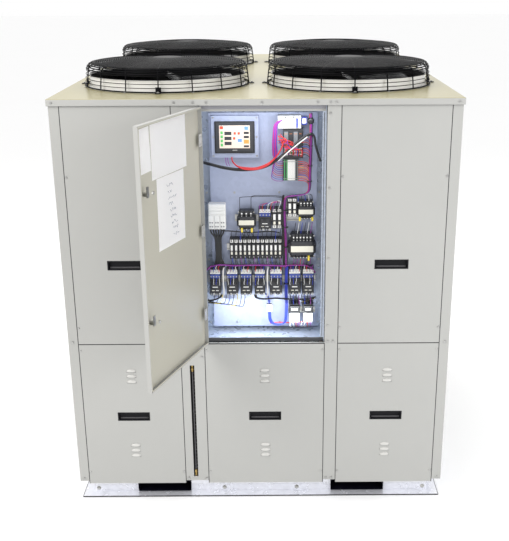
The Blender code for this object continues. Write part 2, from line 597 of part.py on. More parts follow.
flange_y = REAR + 0.050
outlet = pipe("water_outlet_pipe", ((pump_x, 0.095, pump_z + 0.1308), (pump_x, 0.095, WATER_Z),
                                    (WATER_X, flange_y - 0.006, WATER_Z)),
              0.030, paint("water_pipe", (0.10, 0.30, 0.15), 0.2, 0.5))
combine(outlet, rods(0.072, -0.012, 0.0, [(WATER_X, flange_y, WATER_Z)], 20, "Y"), "UNION")

(ax, ay), (bx, by) = COMP_AT
suction_z = COMP_Z + 0.300
copper = (0.65, 0.30, 0.16)
suction = pipe("suction_pipe", ((-0.150 + GAP, ay, suction_z), (ax - SHELL_R - GAP, ay, suction_z)), 0.020,
               paint("suction_copper", copper, 1.0, 0.35))
branch = ((0.040, ay, suction_z), (0.040, ay + 0.200, suction_z), (bx, ay + 0.200, suction_z),
          (bx, by + SHELL_R + GAP, suction_z))
combine(suction, pipe("suction_branch", branch, 0.0195, cutter=True), "UNION")
port_z, run_z = COMP_Z + SHELL_H + GAP, 0.760
discharge = pipe("discharge_pipe", ((ax, ay, port_z), (ax, ay, run_z), (bx + 0.100, by, run_z)), 0.014,
                 paint("discharge_copper", copper, 1.0, 0.35))
branch = pipe("discharge_branch", ((bx, by, port_z), (bx, by, run_z + 0.004)), 0.0135, cutter=True)
combine(discharge, branch, "UNION")
rise = ((bx + 0.090, by, run_z + 0.0005), (half_w - 0.098, HEADER_Y, run_z + 0.0005),
        (half_w - 0.098, HEADER_Y, coil_z[0] - GAP))
combine(discharge, pipe("discharge_rise", rise, 0.0138, cutter=True), "UNION")
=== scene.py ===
"""Looks of the packaged air-cooled chiller: every piece rides on a body of the CAD frame."""

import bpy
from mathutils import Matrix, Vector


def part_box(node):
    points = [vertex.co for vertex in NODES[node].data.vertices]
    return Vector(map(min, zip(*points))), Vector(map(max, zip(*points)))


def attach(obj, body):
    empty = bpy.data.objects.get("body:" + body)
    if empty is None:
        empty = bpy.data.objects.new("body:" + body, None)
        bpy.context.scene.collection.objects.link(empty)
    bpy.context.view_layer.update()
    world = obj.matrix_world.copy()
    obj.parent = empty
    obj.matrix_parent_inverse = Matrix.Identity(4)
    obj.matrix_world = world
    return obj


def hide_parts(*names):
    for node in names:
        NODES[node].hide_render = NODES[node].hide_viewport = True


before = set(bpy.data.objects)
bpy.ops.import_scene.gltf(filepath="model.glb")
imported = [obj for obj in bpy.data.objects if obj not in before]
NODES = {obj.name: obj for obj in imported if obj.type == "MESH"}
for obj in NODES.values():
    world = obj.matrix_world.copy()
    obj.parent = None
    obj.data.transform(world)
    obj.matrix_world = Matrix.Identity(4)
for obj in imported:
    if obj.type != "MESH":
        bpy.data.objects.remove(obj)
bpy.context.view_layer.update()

import math
import random

import bmesh
import bpy
from mathutils import Matrix, Vector

ROOT = "cabinet"


# ---- places read from the frame ------------------------------------------------------
def box(node):
    low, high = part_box(node)
    return low.x, high.x, low.y, high.y, low.z, high.z


FACE = box("upper_right_panel")[2]                 # plane of the front covers
DECK = box("fan_deck")
DECK_TOP = box("fan_guard_front_left")[4] - 0.0004
PLATE_Y = box("mounting_plate")[2]                 # front of the mounting plate
HINGE = Vector((box("front_mid_post_left")[1] + 0.004, FACE, 0.0))
DOOR_W, DOOR_T = 0.62, 0.022
DOOR_Z0, DOOR_Z1 = box("door")[4], box("door")[5]
DOOR_SWING = math.radians(-110.8)
ON_DOOR = Matrix.Translation(HINGE) @ Matrix.Rotation(DOOR_SWING, 4, "Z") @ Matrix.Translation(-HINGE)
FANS = ("front_left", "front_right", "rear_left", "rear_right")


def fan_centre(name):
    x0, x1, y0, y1, _, _ = box("fan_guard_" + name)
    return (x0 + x1) / 2.0, (y0 + y1) / 2.0


# ---- materials -----------------------------------------------------------------------
def material(name, rgb, metallic=0.0, rough=0.45, grain=700.0, bump=0.06, shade=0.05, patch=5.0,
             coat=0.0, spangle=0.0, emission=0.0, bands=None, specular=0.5):
    """Principled surface with drifting tone and roughness and a fine bump."""
    mat = bpy.data.materials.new(name)
    mat.use_nodes = True
    tree = mat.node_tree
    bsdf = tree.nodes["Principled BSDF"]

    def node(kind, **values):
        made = tree.nodes.new(kind)
        for key, value in values.items():
            if key in made.inputs:
                made.inputs[key].default_value = value
            else:
                setattr(made, key, value)
        return made

    def wire(a, b):
        tree.links.new(a, b)

    place = node("ShaderNodeTexCoord").outputs["Object"]
    drift = node("ShaderNodeTexNoise", Scale=patch, Detail=5.0, Roughness=0.6)
    wire(place, drift.inputs["Vector"])
    tone = node("ShaderNodeMix", data_type="RGBA")
    tone.inputs["A"].default_value = (*[min(1.0, c * (1.0 - shade)) for c in rgb], 1.0)
    tone.inputs["B"].default_value = (*[min(1.0, c * (1.0 + shade)) for c in rgb], 1.0)
    wire(drift.outputs["Fac"], tone.inputs["Factor"])
    colour = tone.outputs["Result"]
    spread = node("ShaderNodeMapRange")
    spread.inputs["To Min"].default_value = max(0.02, rough - 0.07)
    spread.inputs["To Max"].default_value = min(1.0, rough + 0.07)
    wire(drift.outputs["Fac"], spread.inputs["Value"])
    roughness = spread.outputs["Result"]
    fine = node("ShaderNodeTexNoise", Scale=grain, Detail=2.0)
    wire(place, fine.inputs["Vector"])
    height = fine.outputs["Fac"]
    if spangle:
        flakes = node("ShaderNodeTexVoronoi", Scale=55.0)
        wire(place, flakes.inputs["Vector"])
        split = node("ShaderNodeSeparateColor")
        wire(flakes.outputs["Color"], split.inputs["Color"])
        mixed = node("ShaderNodeMix", data_type="RGBA", blend_type="MULTIPLY")
        mixed.inputs["Factor"].default_value = 1.0
        wire(colour, mixed.inputs["A"])
        grey = node("ShaderNodeMapRange")
        grey.inputs["To Min"].default_value = 1.0 - spangle
        grey.inputs["To Max"].default_value = 1.0 + spangle * 0.4
        wire(split.outputs["Red"], grey.inputs["Value"])
        wire(grey.outputs["Result"], mixed.inputs["B"])
        colour = mixed.outputs["Result"]
        rougher = node("ShaderNodeMapRange")
        rougher.inputs["To Min"].default_value = max(0.05, rough - 0.12)
        rougher.inputs["To Max"].default_value = rough + 0.12
        wire(split.outputs["Green"], rougher.inputs["Value"])
        roughness = rougher.outputs["Result"]
    if bands:
        axis, scale, depth = bands
        wave = node("ShaderNodeTexWave", Scale=scale, wave_type="BANDS", bands_direction=axis)
        wire(place, wave.inputs["Vector"])
        height = wave.outputs["Fac"]
        bump = depth
        dark = node("ShaderNodeMix", data_type="RGBA", blend_type="MULTIPLY")
        dark.inputs["Factor"].default_value = 0.6
        wire(colour, dark.inputs["A"])
        wire(wave.outputs["Color"], dark.inputs["B"])
        colour = dark.outputs["Result"]
    wire(colour, bsdf.inputs["Base Color"])
    wire(roughness, bsdf.inputs["Roughness"])
    relief = node("ShaderNodeBump", Strength=bump, Distance=0.001)
    wire(height, relief.inputs["Height"])
    wire(relief.outputs["Normal"], bsdf.inputs["Normal"])
    bsdf.inputs["Metallic"].default_value = metallic
    bsdf.inputs["Coat Weight"].default_value = coat
    bsdf.inputs["Specular IOR Level"].default_value = specular
    if emission:
        wire(colour, bsdf.inputs["Emission Color"])
        bsdf.inputs["Emission Strength"].default_value = emission
    return mat


CREAM = material("cream_powder_coat", (0.362, 0.362, 0.348), rough=0.38, shade=0.04, patch=1.6, bump=0.1)
# Louvre hoods: the cover's cream made lighter, a painted highlight where their tops catch the light.
HOOD_HIGHLIGHT = material("louvre_hood_highlight", (0.5, 0.495, 0.475), rough=0.34, shade=0.03, patch=6.0, bump=0.06)
DECK_PAINT = material("deck_powder_coat", (0.38, 0.34, 0.178), rough=0.32, shade=0.05, patch=1.4, bump=0.1,
                      coat=0.15)
COLLAR_PAINT = material("collar_paint", (0.8, 0.79, 0.76), rough=0.24, shade=0.05, patch=4.0, bump=0.08, coat=0.3)
# Near-black for the collars' inner wall: painted shade in the fan throats.
THROAT_SHADE = material("throat_shadow_coat", (0.012, 0.012, 0.012), rough=0.5, shade=0.2, patch=8.0)
DOOR_PAINT = material("door_powder_coat", (0.4, 0.386, 0.325), rough=0.42, shade=0.03, patch=1.6, bump=0.1)
BASE_ZINC = material("base_zinc", (0.86, 0.87, 0.92), metallic=0.45, rough=0.17, spangle=0.05, bump=0.03, shade=0.03)
POCKET_SHADE = material("pocket_shadow_paint", (0.004, 0.004, 0.01), rough=0.7, shade=0.2, specular=0.1)
GALV = material("galvanised_sheet", (0.8, 0.82, 0.88), metallic=0.75, rough=0.2, spangle=0.09, bump=0.03)
WALL = material("compartment_sheet", (0.42, 0.47, 0.56), metallic=0.5, rough=0.36, spangle=0.1, bump=0.04)
ZINC = material("blue_zinc_plate", (0.36, 0.4, 0.53), metallic=0.35, rough=0.42, spangle=0.05, bump=0.04)
WIRE_BLACK = material("guard_wire_black", (0.004, 0.004, 0.005), rough=0.42, bump=0.04, specular=0.045)
BLADE = material("fan_blade_dark", (0.016, 0.016, 0.018), metallic=0.1, rough=0.24, shade=0.25, patch=9.0,
                 specular=0.35)
HUB = material("fan_hub_grey", (0.22, 0.225, 0.235), metallic=0.8, rough=0.3, shade=0.1)
BLACK = material("black_moulding", (0.014, 0.014, 0.016), rough=0.42, grain=1400.0, bump=0.16, shade=0.15)
DARK = material("dark_device", (0.03, 0.031, 0.035), rough=0.48, grain=1200.0, bump=0.12, shade=0.2)
# Grey header strip and near-black sill strip: painted shade on the recessed frame above and below the compartment
# opening.
HEADER_SHADE = material("header_strip_shade_grey", (0.3, 0.3, 0.325), metallic=0.3, rough=0.4, shade=0.05)
SILL_SHADE = material("sill_shade_grey", (0.048, 0.05, 0.056), rough=0.5, shade=0.1)
GREY = material("grey_device", (0.19, 0.2, 0.21), rough=0.5, bump=0.1, shade=0.1)
WHITE = material("white_device", (0.78, 0.78, 0.76), rough=0.42, bump=0.06, shade=0.04)
STEEL = material("zinc_screw", (0.42, 0.42, 0.41), metallic=1.0, rough=0.3, shade=0.1, patch=60.0)
BRASS = material("brass_fitting", (0.36, 0.25, 0.09), metallic=1.0, rough=0.28, shade=0.12, patch=30.0)
COPPER = material("copper_tube", (0.72, 0.34, 0.19), metallic=1.0, rough=0.3, shade=0.15, patch=14.0)
GRIP = material("grip_black", (0.006, 0.006, 0.008), rough=0.55, grain=1400.0, bump=0.12, shade=0.15, specular=0.2)
GRIP_EDGE = material("grip_edge_grey", (0.085, 0.083, 0.088), rough=0.5, shade=0.1)
# Black rubber for the gaskets; the same black is painted shade in the cover gaps and along the base edges.
RUBBER_AND_SHADE = material("black_gasket_and_painted_shade", (0.02, 0.02, 0.021), rough=0.72, grain=500.0, bump=0.3)
GLASS_TUBE = material("sight_tube", (0.05, 0.048, 0.052), rough=0.1, coat=1.0, shade=0.3, patch=30.0)
PAPER = material("paper_sheet", (0.97, 0.965, 0.965), rough=0.75, grain=260.0, bump=0.12, shade=0.02)
INK = material("pencil_line", (0.22, 0.24, 0.3), rough=0.8)
FINS = material("coil_fins", (0.6, 0.61, 0.62), metallic=0.8, rough=0.45, bands=("Z", 52.0, 0.9))
SCROLL = material("machined_casting", (0.5, 0.5, 0.51), metallic=0.9, rough=0.35, bump=0.1)
SHELL = material("compressor_black", (0.016, 0.016, 0.018), rough=0.3, coat=0.4, shade=0.2)
PUMP = material("pump_blue", (0.035, 0.11, 0.28), rough=0.35, coat=0.3, shade=0.1)
PIPE = material("pipe_green", (0.07, 0.21, 0.12), rough=0.45, shade=0.12)
FOAM = material("foam_insulation", (0.02, 0.02, 0.021), rough=0.9, grain=220.0, bump=0.5, shade=0.25)
SCREEN = material("screen_background", (0.6, 0.5, 0.42), rough=0.16, emission=0.35, bump=0.01)
SHROUD = material("terminal_shroud_blue", (0.055, 0.085, 0.34), rough=0.4, shade=0.08)
LABEL = material("cream_label", (0.74, 0.72, 0.62), rough=0.55, shade=0.05)
CORE = material("laminated_core", (0.055, 0.055, 0.06), metallic=0.5, rough=0.42, bands=("Z", 210.0, 0.5))
CABLES = {name: material("cable_" + name, rgb, rough=0.38, bump=0.03, coat=0.15) for name, rgb in (
    ("black", (0.012, 0.012, 0.013)), ("red", (0.52, 0.018, 0.02)), ("blue", (0.025, 0.045, 0.42)),
    ("yellow", (0.78, 0.6, 0.05)), ("white", (0.72, 0.72, 0.7)), ("purple", (0.24, 0.03, 0.28)),
    ("orange", (0.7, 0.2, 0.03)), ("green", (0.05, 0.33, 0.1)))}
TILES = {name: material("tile_" + name, rgb, rough=0.3, emission=0.3, bump=0.01) for name, rgb in (
    ("amber", (0.62, 0.24, 0.06)), ("green", (0.09, 0.36, 0.1)), ("red", (0.62, 0.06, 0.03)),
    ("blue", (0.12, 0.24, 0.52)))}


# ---- mesh building ----------------------------------------------------------------------
class Piece:
    """One named mesh put together from formed shapes in the row frame."""

    def __init__(self, name, *mats):
        self.name, self.mats, self.bm = name, mats, bmesh.new()
        self.front = 0.0                               # plane that slabs and studs are measured from

    def add(self, form, m=0, move=None):
        if move:
            bmesh.ops.transform(form, matrix=move, verts=form.verts)
        for face in form.faces:
            face.material_index = m
            face.smooth = True
        mesh = bpy.data.meshes.new("form")
        form.to_mesh(mesh)
        form.free()
        self.bm.from_mesh(mesh)
        bpy.data.meshes.remove(mesh)
        return self

    def block(self, x0, x1, y0, y1, z0, z1, m=0, r=0.0015, seg=2, move=None):
        """Box with rounded edges."""
        form = bmesh.new()
        size = (x1 - x0, y1 - y0, z1 - z0)
        place = Matrix.Translation(((x0 + x1) / 2, (y0 + y1) / 2, (z0 + z1) / 2))
        bmesh.ops.create_cube(form, size=1.0, matrix=place @ Matrix.Diagonal((*size, 1.0)))
        r = min(r, 0.42 * min(abs(s) for s in size))
        if r > 0.0:
            bmesh.ops.bevel(form, geom=list(form.edges), offset=r, segments=seg, profile=0.5,
                            affect="EDGES", clamp_overlap=True)
        return self.add(form, m, move)

    def slab(self, x0, x1, d0, d1, z0, z1, m=0, r=0.0015, seg=2):
        """Rounded box between two depths from the front plane."""
        return self.block(x0, x1, self.front + d0, self.front + d1, z0, z1, m, r, seg)

    def rings(self, loops, m=0, closed=False, caps=True, move=None):
        """Skin over a run of loops with equal numbers of points."""
        form = bmesh.new()
        made = [[form.verts.new(p) for p in loop] for loop in loops]
        count = len(loops[0])
        pairs = list(zip(made, made[1:] + made[:1])) if closed else list(zip(made, made[1:]))
        for low, high in pairs:
            for k in range(count):
                j = (k + 1) % count
                form.faces.new((low[k], low[j], high[j], high[k]))
        if caps and not closed:
            form.faces.new(made[0][::-1])
            form.faces.new(made[-1])
        bmesh.ops.recalc_face_normals(form, faces=form.faces)
        return self.add(form, m, move)

    def lathe(self, profile, at, axis="Z", m=0, n=48, closed=False, move=None):
        """Turned shape: (radius, height) points about an axis through `at`."""
        turns = [2.0 * math.pi * k / n for k in range(n)]
        loops = []
        for radius, height in profile:
            radius = max(radius, 0.00002)
            ring = [(radius * math.cos(a), radius * math.sin(a)) for a in turns]
            if axis == "Z":
                loops.append([(at[0] + a, at[1] + b, at[2] + height) for a, b in ring])
            elif axis == "Y":
                loops.append([(at[0] + a, at[1] + height, at[2] + b) for a, b in ring])
            else:
                loops.append([(at[0] + height, at[1] + a, at[2] + b) for a, b in ring])
        return self.rings(loops, m, closed=closed, caps=not closed, move=move)

    def rod(self, a, b, r, m=0, n=16, edge=0.0, move=None):
        """Round bar between two points, with an optional chamfer."""
        a, b = Vector(a), Vector(b)
        along = (b - a).normalized()
        side = along.orthogonal().normalized()
        other = along.cross(side)
        stops = [(a, r)] if not edge else [(a, r - edge), (a + along * edge, r)]
        stops += [(b, r)] if not edge else [(b - along * edge, r), (b, r - edge)]
        loops = [[tuple(p + rad * (math.cos(t) * side + math.sin(t) * other))
                  for t in (2.0 * math.pi * k / n for k in range(n))] for p, rad in stops]
        return self.rings(loops, m, move=move)

    def stud(self, x, z, d0, d1, r, m=0, n=16, edge=0.0):
        """Round head along Y between two depths from the front plane."""
        return self.rod((x, self.front + d0, z), (x, self.front + d1, z), r, m, n, edge)

    def tube(self, points, r, m=0, n=8, closed=False, fine=6, move=None):
        """Round wire on a smooth curve through the points."""
        path = smooth_path(points, fine, closed) if fine else [Vector(p) for p in points]
        count = len(path)
        loops, side = [], None
        for i, point in enumerate(path):
            ahead = path[(i + 1) % count] if closed else path[min(i + 1, count - 1)]
            behind = path[i - 1] if closed or i else path[0]
            along = (ahead - behind).normalized()
            side = (side or along.orthogonal())
            side = (side - along * side.dot(along)).normalized()
            other = along.cross(side)
            loops.append([tuple(point + r * (math.cos(t) * side + math.sin(t) * other))
                          for t in (2.0 * math.pi * k / n for k in range(n))])
        return self.rings(loops, m, closed=closed, move=move)

    def outline(self, points, axis, lo, hi, m=0, r=0.0, move=None):
        """Flat outline across an axis, extruded from lo to hi."""
        place = {"X": lambda a, b, c: (c, a, b), "Y": lambda a, b, c: (a, c, b),
                 "Z": lambda a, b, c: (a, b, c)}[axis]
        form = bmesh.new()
        face = form.faces.new([form.verts.new(place(a, b, lo)) for a, b in points])
        grown = bmesh.ops.extrude_face_region(form, geom=[face], use_keep_orig=True)
        moved = [v for v in grown["geom"] if isinstance(v, bmesh.types.BMVert)]
        bmesh.ops.translate(form, verts=moved, vec=place(0.0, 0.0, hi - lo))
        bmesh.ops.recalc_face_normals(form, faces=form.faces)
        if r:
            bmesh.ops.bevel(form, geom=list(form.edges), offset=r, segments=2, profile=0.5,
                            affect="EDGES", clamp_overlap=True)
        return self.add(form, m, move)

    def screw(self, at, normal, r=0.005, m=0, hexagon=False, move=None):
        """Screw head with a washer, standing on a surface."""
        at, normal = Vector(at), Vector(normal).normalized()
        self.rod(at, at + normal * r * 0.22, r * 1.45, m, 20, r * 0.08, move)
        top = at + normal * r * 0.95
        self.rod(at + normal * r * 0.2, top, r, m, 6 if hexagon else 18, r * 0.18, move)
        return self

    def done(self, body=ROOT, nodes=(), slot=None, move=None, weighted=True, angle=38.0):
        mesh = bpy.data.meshes.new(self.name)
        if move:
            bmesh.ops.transform(self.bm, matrix=move, verts=self.bm.verts)
        self.bm.to_mesh(mesh)
        self.bm.free()
        for mat in self.mats:
            mesh.materials.append(mat)
        mesh.set_sharp_from_angle(angle=math.radians(angle))
        ob = bpy.data.objects.new(self.name, mesh)
        bpy.context.scene.collection.objects.link(ob)
        if weighted:
            ob.modifiers.new("even_shading", "WEIGHTED_NORMAL").keep_sharp = True
        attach(ob, body)
        if nodes:
            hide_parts(*nodes)
        return ob


def smooth_path(points, fine, closed=False):
    """Catmull-Rom curve through the points."""
    pts = [Vector(p) for p in points]
    count = len(pts)
    out = []
    spans = count if closed else count - 1
    for i in range(spans):
        p1, p2 = pts[i], pts[(i + 1) % count]
        p0 = pts[i - 1] if closed or i else p1 + (p1 - p2)
        p3 = pts[(i + 2) % count] if closed or i + 2 < count else p2 + (p2 - p1)
        for k in range(fine):
            t = k / fine
            out.append(0.5 * ((2 * p1) + (p2 - p0) * t + (2 * p0 - 5 * p1 + 4 * p2 - p3) * t * t
                              + (3 * p1 - p0 - 3 * p2 + p3) * t ** 3))
    if not closed:
        out.append(pts[-1])
    return out


def dress(node, mat, edge=0.0012, smooth=40.0):
    """Gives a kept CAD node its material, rounded edges and even shading."""
    ob = NODES[node]
    if not ob.material_slots:
        ob.data.materials.append(mat)
    for entry in ob.material_slots:
        entry.material = mat
    ob.data.polygons.foreach_set("use_smooth", [True] * len(ob.data.polygons))
    ob.data.set_sharp_from_angle(angle=math.radians(smooth))
    if edge:
        soft = ob.modifiers.new("soft_edges", "BEVEL")
        soft.width = edge
        soft.segments = 2
        soft.limit_method = "ANGLE"
        soft.angle_limit = math.radians(45.0)
    ob.modifiers.new("even_shading", "WEIGHTED_NORMAL").keep_sharp = True


# ---- base, posts and covers -----------------------------------------------------------
dress("base_frame", BASE_ZINC, 0.0015)
bx0, bx1, by0, by1, bz0, _ = box("base_frame")
# Thin black sheets inside the fork pockets: painted shade, so the pockets read dark.
pocket_shade_sheets = Piece("fork_pocket_painted_shade", POCKET_SHADE)
FORK_X, FORK_W, FORK_LOW, FORK_HIGH = 0.54, 0.295, bz0 + 0.012, bz0 + 0.072
WEB_INSET = 0.041                                      # from the flange's edge to the web
for s in (-1, 1):
    p0, p1, t = s * FORK_X - FORK_W / 2.0, s * FORK_X + FORK_W / 2.0, 0.0008
    for x0, x1, z0, z1 in ((p0, p0 + t, FORK_LOW, FORK_HIGH), (p1 - t, p1, FORK_LOW, FORK_HIGH),
                           (p0, p1, FORK_LOW, FORK_LOW + t), (p0, p1, FORK_HIGH - t, FORK_HIGH)):
        pocket_shade_sheets.block(x0, x1, by0 + WEB_INSET, by1 - WEB_INSET, z0, z1, 0, 0.0)
pocket_shade_sheets.done(slot="galvanised")
# Thin black strips round the base flange's edges: painted shade for the dark outline along the bottom.
base_edge_shade = Piece("base_edge_painted_shade", RUBBER_AND_SHADE)
for x0, x1, y0, y1 in ((bx0, bx1, by0 - 0.001, by0 + 0.0015), (bx0, bx1, by1 - 0.0015, by1 + 0.001),
                       (bx0 - 0.001, bx0 + 0.0015, by0, by1), (bx1 - 0.0015, bx1 + 0.001, by0, by1)):
    base_edge_shade.block(x0, x1, y0, y1, bz0 + 0.0002, bz0 + 0.0062, 0, 0.0004)
base_edge_shade.done(slot="black_wire")
dress("floor_pan", GALV, 0.0008)
for node in NODES:
    if "_post_" in node or node.endswith("_post"):
        dress(node, CREAM, 0.0014)
for node in ("rear_left_panel", "rear_right_panel", "left_side_panel", "right_side_panel"):
    dress(node, CREAM, 0.0014)

COVERS = ("upper_left", "upper_right", "lower_left", "lower_center", "lower_right")
HANDLE_W, HANDLE_H = 0.166, 0.044
LOUVRE_W, LOUVRE_PITCH, LOUVRE_ROWS = 0.05, 0.031, (0.748, 0.306)
HANDLE_Z = {"upper": 1.368, "lower": 0.515}
COVER_SCREW_Z = {"upper": (1.822, 1.026), "lower": (0.9, 0.176)}


def handle_insert(piece, cx, cz):
    """Black recessed grip: a thin rim, a lined cup and a finger lip along its lower edge."""
    a, b = HANDLE_W / 2.0, HANDLE_H / 2.0
    rim = 0.003
    for s in (-1, 1):
        z0, z1 = sorted((cz + s * (b - 0.001), cz + s * (b + rim)))
        piece.block(cx - a - rim, cx + a + rim, FACE - 0.0012, FACE + 0.0004, z0, z1, 0, 0.0006)
        x0, x1 = sorted((cx + s * (a - 0.001), cx + s * (a + rim)))
        piece.block(x0, x1, FACE - 0.0012, FACE + 0.0004, cz - b - rim, cz + b + rim, 0, 0.0006)
        x0, x1 = sorted((cx + s * (a - 0.0035), cx + s * (a - 0.0002)))
        piece.block(x0, x1, FACE - 0.0005, FACE + 0.0208, cz - b, cz + b, 0, 0.0006)
        z0, z1 = sorted((cz + s * (b - 0.003), cz + s * (b - 0.0002)))
        piece.block(cx - a, cx + a, FACE, FACE + 0.0205, z0, z1, 0, 0.0006)
    piece.block(cx - a, cx + a, FACE + 0.0185, FACE + 0.0212, cz - b, cz + b, 0, 0.0006)
    lip = [(FACE + 0.0165, cz - b + 0.0028), (FACE + 0.0165, cz - b + 0.01), (FACE + 0.0135, cz - b + 0.0125),
           (FACE + 0.0125, cz - b + 0.0115), (FACE + 0.0145, cz - b + 0.009), (FACE + 0.0145, cz - b + 0.0028)]
    piece.outline(lip, "X", cx - a + 0.008, cx + a - 0.008, 1, 0.0005)


def louvre(piece, cx, cz, m=0):
    """Pressed hood with rounded ends over its slot."""
    rise, tall, foot, loops = 0.0085, 0.0145, cz + 0.0005, []
    for j in range(21):
        s = -1.0 + j / 10.0
        full = max(0.02, (1.0 - s * s) ** 0.4)
        arc = [math.pi / 2.0 * k / 7 for k in range(8)]
        loop = [(cx + s * LOUVRE_W / 2.0, FACE - rise * full * math.sin(a), foot + tall * full * math.cos(a))
                for a in arc]
        loop += [(cx + s * LOUVRE_W / 2.0, FACE + 0.0006, foot),
                 (cx + s * LOUVRE_W / 2.0, FACE + 0.0006, foot + tall * full)]
        loops.append(loop)
    piece.rings(loops, m)


for cover in COVERS:
    node = cover + "_panel"
    dress(node, CREAM, 0.0014)
    x0, x1, _, _, z0, z1 = box(node)
    cx = (x0 + x1) / 2.0
    level = cover.split("_")[0]
    grip = Piece(cover + "_handle", GRIP, GRIP_EDGE)
    handle_insert(grip, cx, HANDLE_Z[level])
    grip.done(cover + "_cover", slot="device_plastic")
    trim = Piece(cover + "_fixings", STEEL, HOOD_HIGHLIGHT)
    for z in COVER_SCREW_Z[level]:
        for x in (x0 + 0.0085, x1 - 0.0085):
            trim.screw((x, FACE, z), (0, -1, 0), 0.0046)
    if level == "lower":
        # hoods in the lighter coat: painted highlight on the cover's own cream
        for row in LOUVRE_ROWS:
            for k in (-1, 0, 1):
                louvre(trim, cx, row + k * LOUVRE_PITCH, 1)
    trim.done(cover + "_cover", slot="machined_steel")

# Painted shade in the gaps between the front covers.
gap_shade = Piece("cover_gap_shade", RUBBER_AND_SHADE)
PANEL_GAP, LAP = 0.002, 0.0009


def gap_shade_round(node, skip=()):
    """Black strips in the gap all round a front cover: painted shade that darkens the seams."""
    x0, x1, _, _, z0, z1 = box(node)
    a, b = -LAP, PANEL_GAP + LAP
    strips = {"left": (x0 - b, x0 - a, z0, z1), "right": (x1 + a, x1 + b, z0, z1),
              "top": (x0 - b, x1 + b, z1 + a, z1 + b)}
    for side, (xa, xb, za, zb) in strips.items():
        if side not in skip:
            gap_shade.block(xa, xb, FACE - 0.0004, FACE + 0.006, za, zb, 0, 0.0003)


for cover in COVERS:
    gap_shade_round(cover + "_panel", ("top",) if cover.startswith("upper") else ())
gap_shade.done(slot="device_plastic")

fixings = Piece("front_fixings", STEEL)
skirt_y = DECK[2]
skirt_z = DECK_TOP - 0.0165
for x in (-0.973, -0.391, -0.3, -0.237, 0.029, 0.295, 0.356, 0.385, 0.97):
    fixings.screw((x, skirt_y, skirt_z), (0, -1, 0), 0.0045)
for z in (2.131, 1.765, 1.401, 1.038):
    fixings.screw((0.3565, FACE, z), (0, -1, 0), 0.0045)
for x, z in ((-0.971, 0.948), (0.357, 0.947), (0.387, 0.947), (0.971, 0.942),
             (-0.969, 0.137), (-0.394, 0.137), (-0.296, 0.134), (0.359, 0.134), (0.388, 0.134), (0.971, 0.134)):
    fixings.screw((x, FACE, z), (0, -1, 0), 0.0062, hexagon=True)
for x in (-0.394, -0.3):
    fixings.screw((x, FACE, 0.862), (0, -1, 0), 0.0055, hexagon=True)
fixings.done(slot="machined_steel")

back = Piece("side_and_rear_fixings", STEEL)
rear = box("rear_left_panel")[3]
for node in ("rear_left_panel", "rear_right_panel"):
    x0, x1, _, _, z0, z1 = box(node)
    for z in (z0 + 0.06, (z0 + z1) / 2 - 0.34, (z0 + z1) / 2 + 0.34, z1 - 0.06):
        for x in (x0 + 0.01, x1 - 0.01):
            back.screw((x, rear, z), (0, 1, 0), 0.005)
for node, s in (("left_side_panel", -1), ("right_side_panel", 1)):
    x0, x1, y0, y1, z0, z1 = box(node)
    x = x0 if s < 0 else x1
    for y in (y0 + 0.012, y0 * 0.36, y1 * 0.36, y1 - 0.012):
        for z in (z0 + 0.02, z1 - 0.02):
            back.screw((x, y, z), (s, 0, 0), 0.005)
back.done(slot="machined_steel")

# ---- roof deck -------------------------------------------------------------------------
COLLAR_R, COLLAR_UP, COLLAR_DOWN = 0.412, 0.06, 0.085
plate = Piece("deck_plate", DECK_PAINT, CREAM)
plate.block(DECK[0], DECK[1], DECK[2], DECK[3], DECK_TOP - 0.033, DECK_TOP, 0, 0.0035, 3)
plate = plate.done(nodes=("fan_deck",), slot="deck_paint")
skin = 0.003
hollow = bmesh.new()
inner = (DECK[1] - DECK[0] - 2 * skin, DECK[3] - DECK[2] - 2 * skin, 0.06)
bmesh.ops.create_cube(hollow, size=1.0, matrix=Matrix.Translation((0, 0, DECK_TOP - skin - 0.03))
                      @ Matrix.Diagonal((*inner, 1.0)))
for name in FANS:
    x, y = fan_centre(name)
    bmesh.ops.create_cone(hollow, cap_ends=True, segments=128, radius1=COLLAR_R - 0.002, radius2=COLLAR_R - 0.002,
                          depth=0.3, matrix=Matrix.Translation((x, y, DECK_TOP + 0.1)))


def carve(ob, form):
    """Cuts a shape out of a finished piece and keeps the result as its mesh."""
    mesh = bpy.data.meshes.new("cutter")
    form.to_mesh(mesh)
    form.free()
    tool = bpy.data.objects.new("cutter", mesh)
    bpy.context.scene.collection.objects.link(tool)
    step = ob.modifiers.new("cut", "BOOLEAN")
    step.solver = "EXACT"
    step.use_self = True
    step.object = tool
    bpy.context.view_layer.update()
    while ob.modifiers.find("cut") > 0:
        ob.modifiers.move(ob.modifiers.find("cut"), 0)
    for other in list(ob.modifiers):
        if other.name != "cut":
            other.show_viewport = False
    bpy.context.view_layer.update()
    result = bpy.data.meshes.new_from_object(ob.evaluated_get(bpy.context.evaluated_depsgraph_get()))
    ob.modifiers.remove(step)
    for other in ob.modifiers:
        other.show_viewport = True
    ob.data = result
    bpy.data.objects.remove(tool, do_unlink=True)


carve(plate, hollow)
for face in plate.data.polygons:
    if face.normal.z < 0.5:
        face.material_index = 1

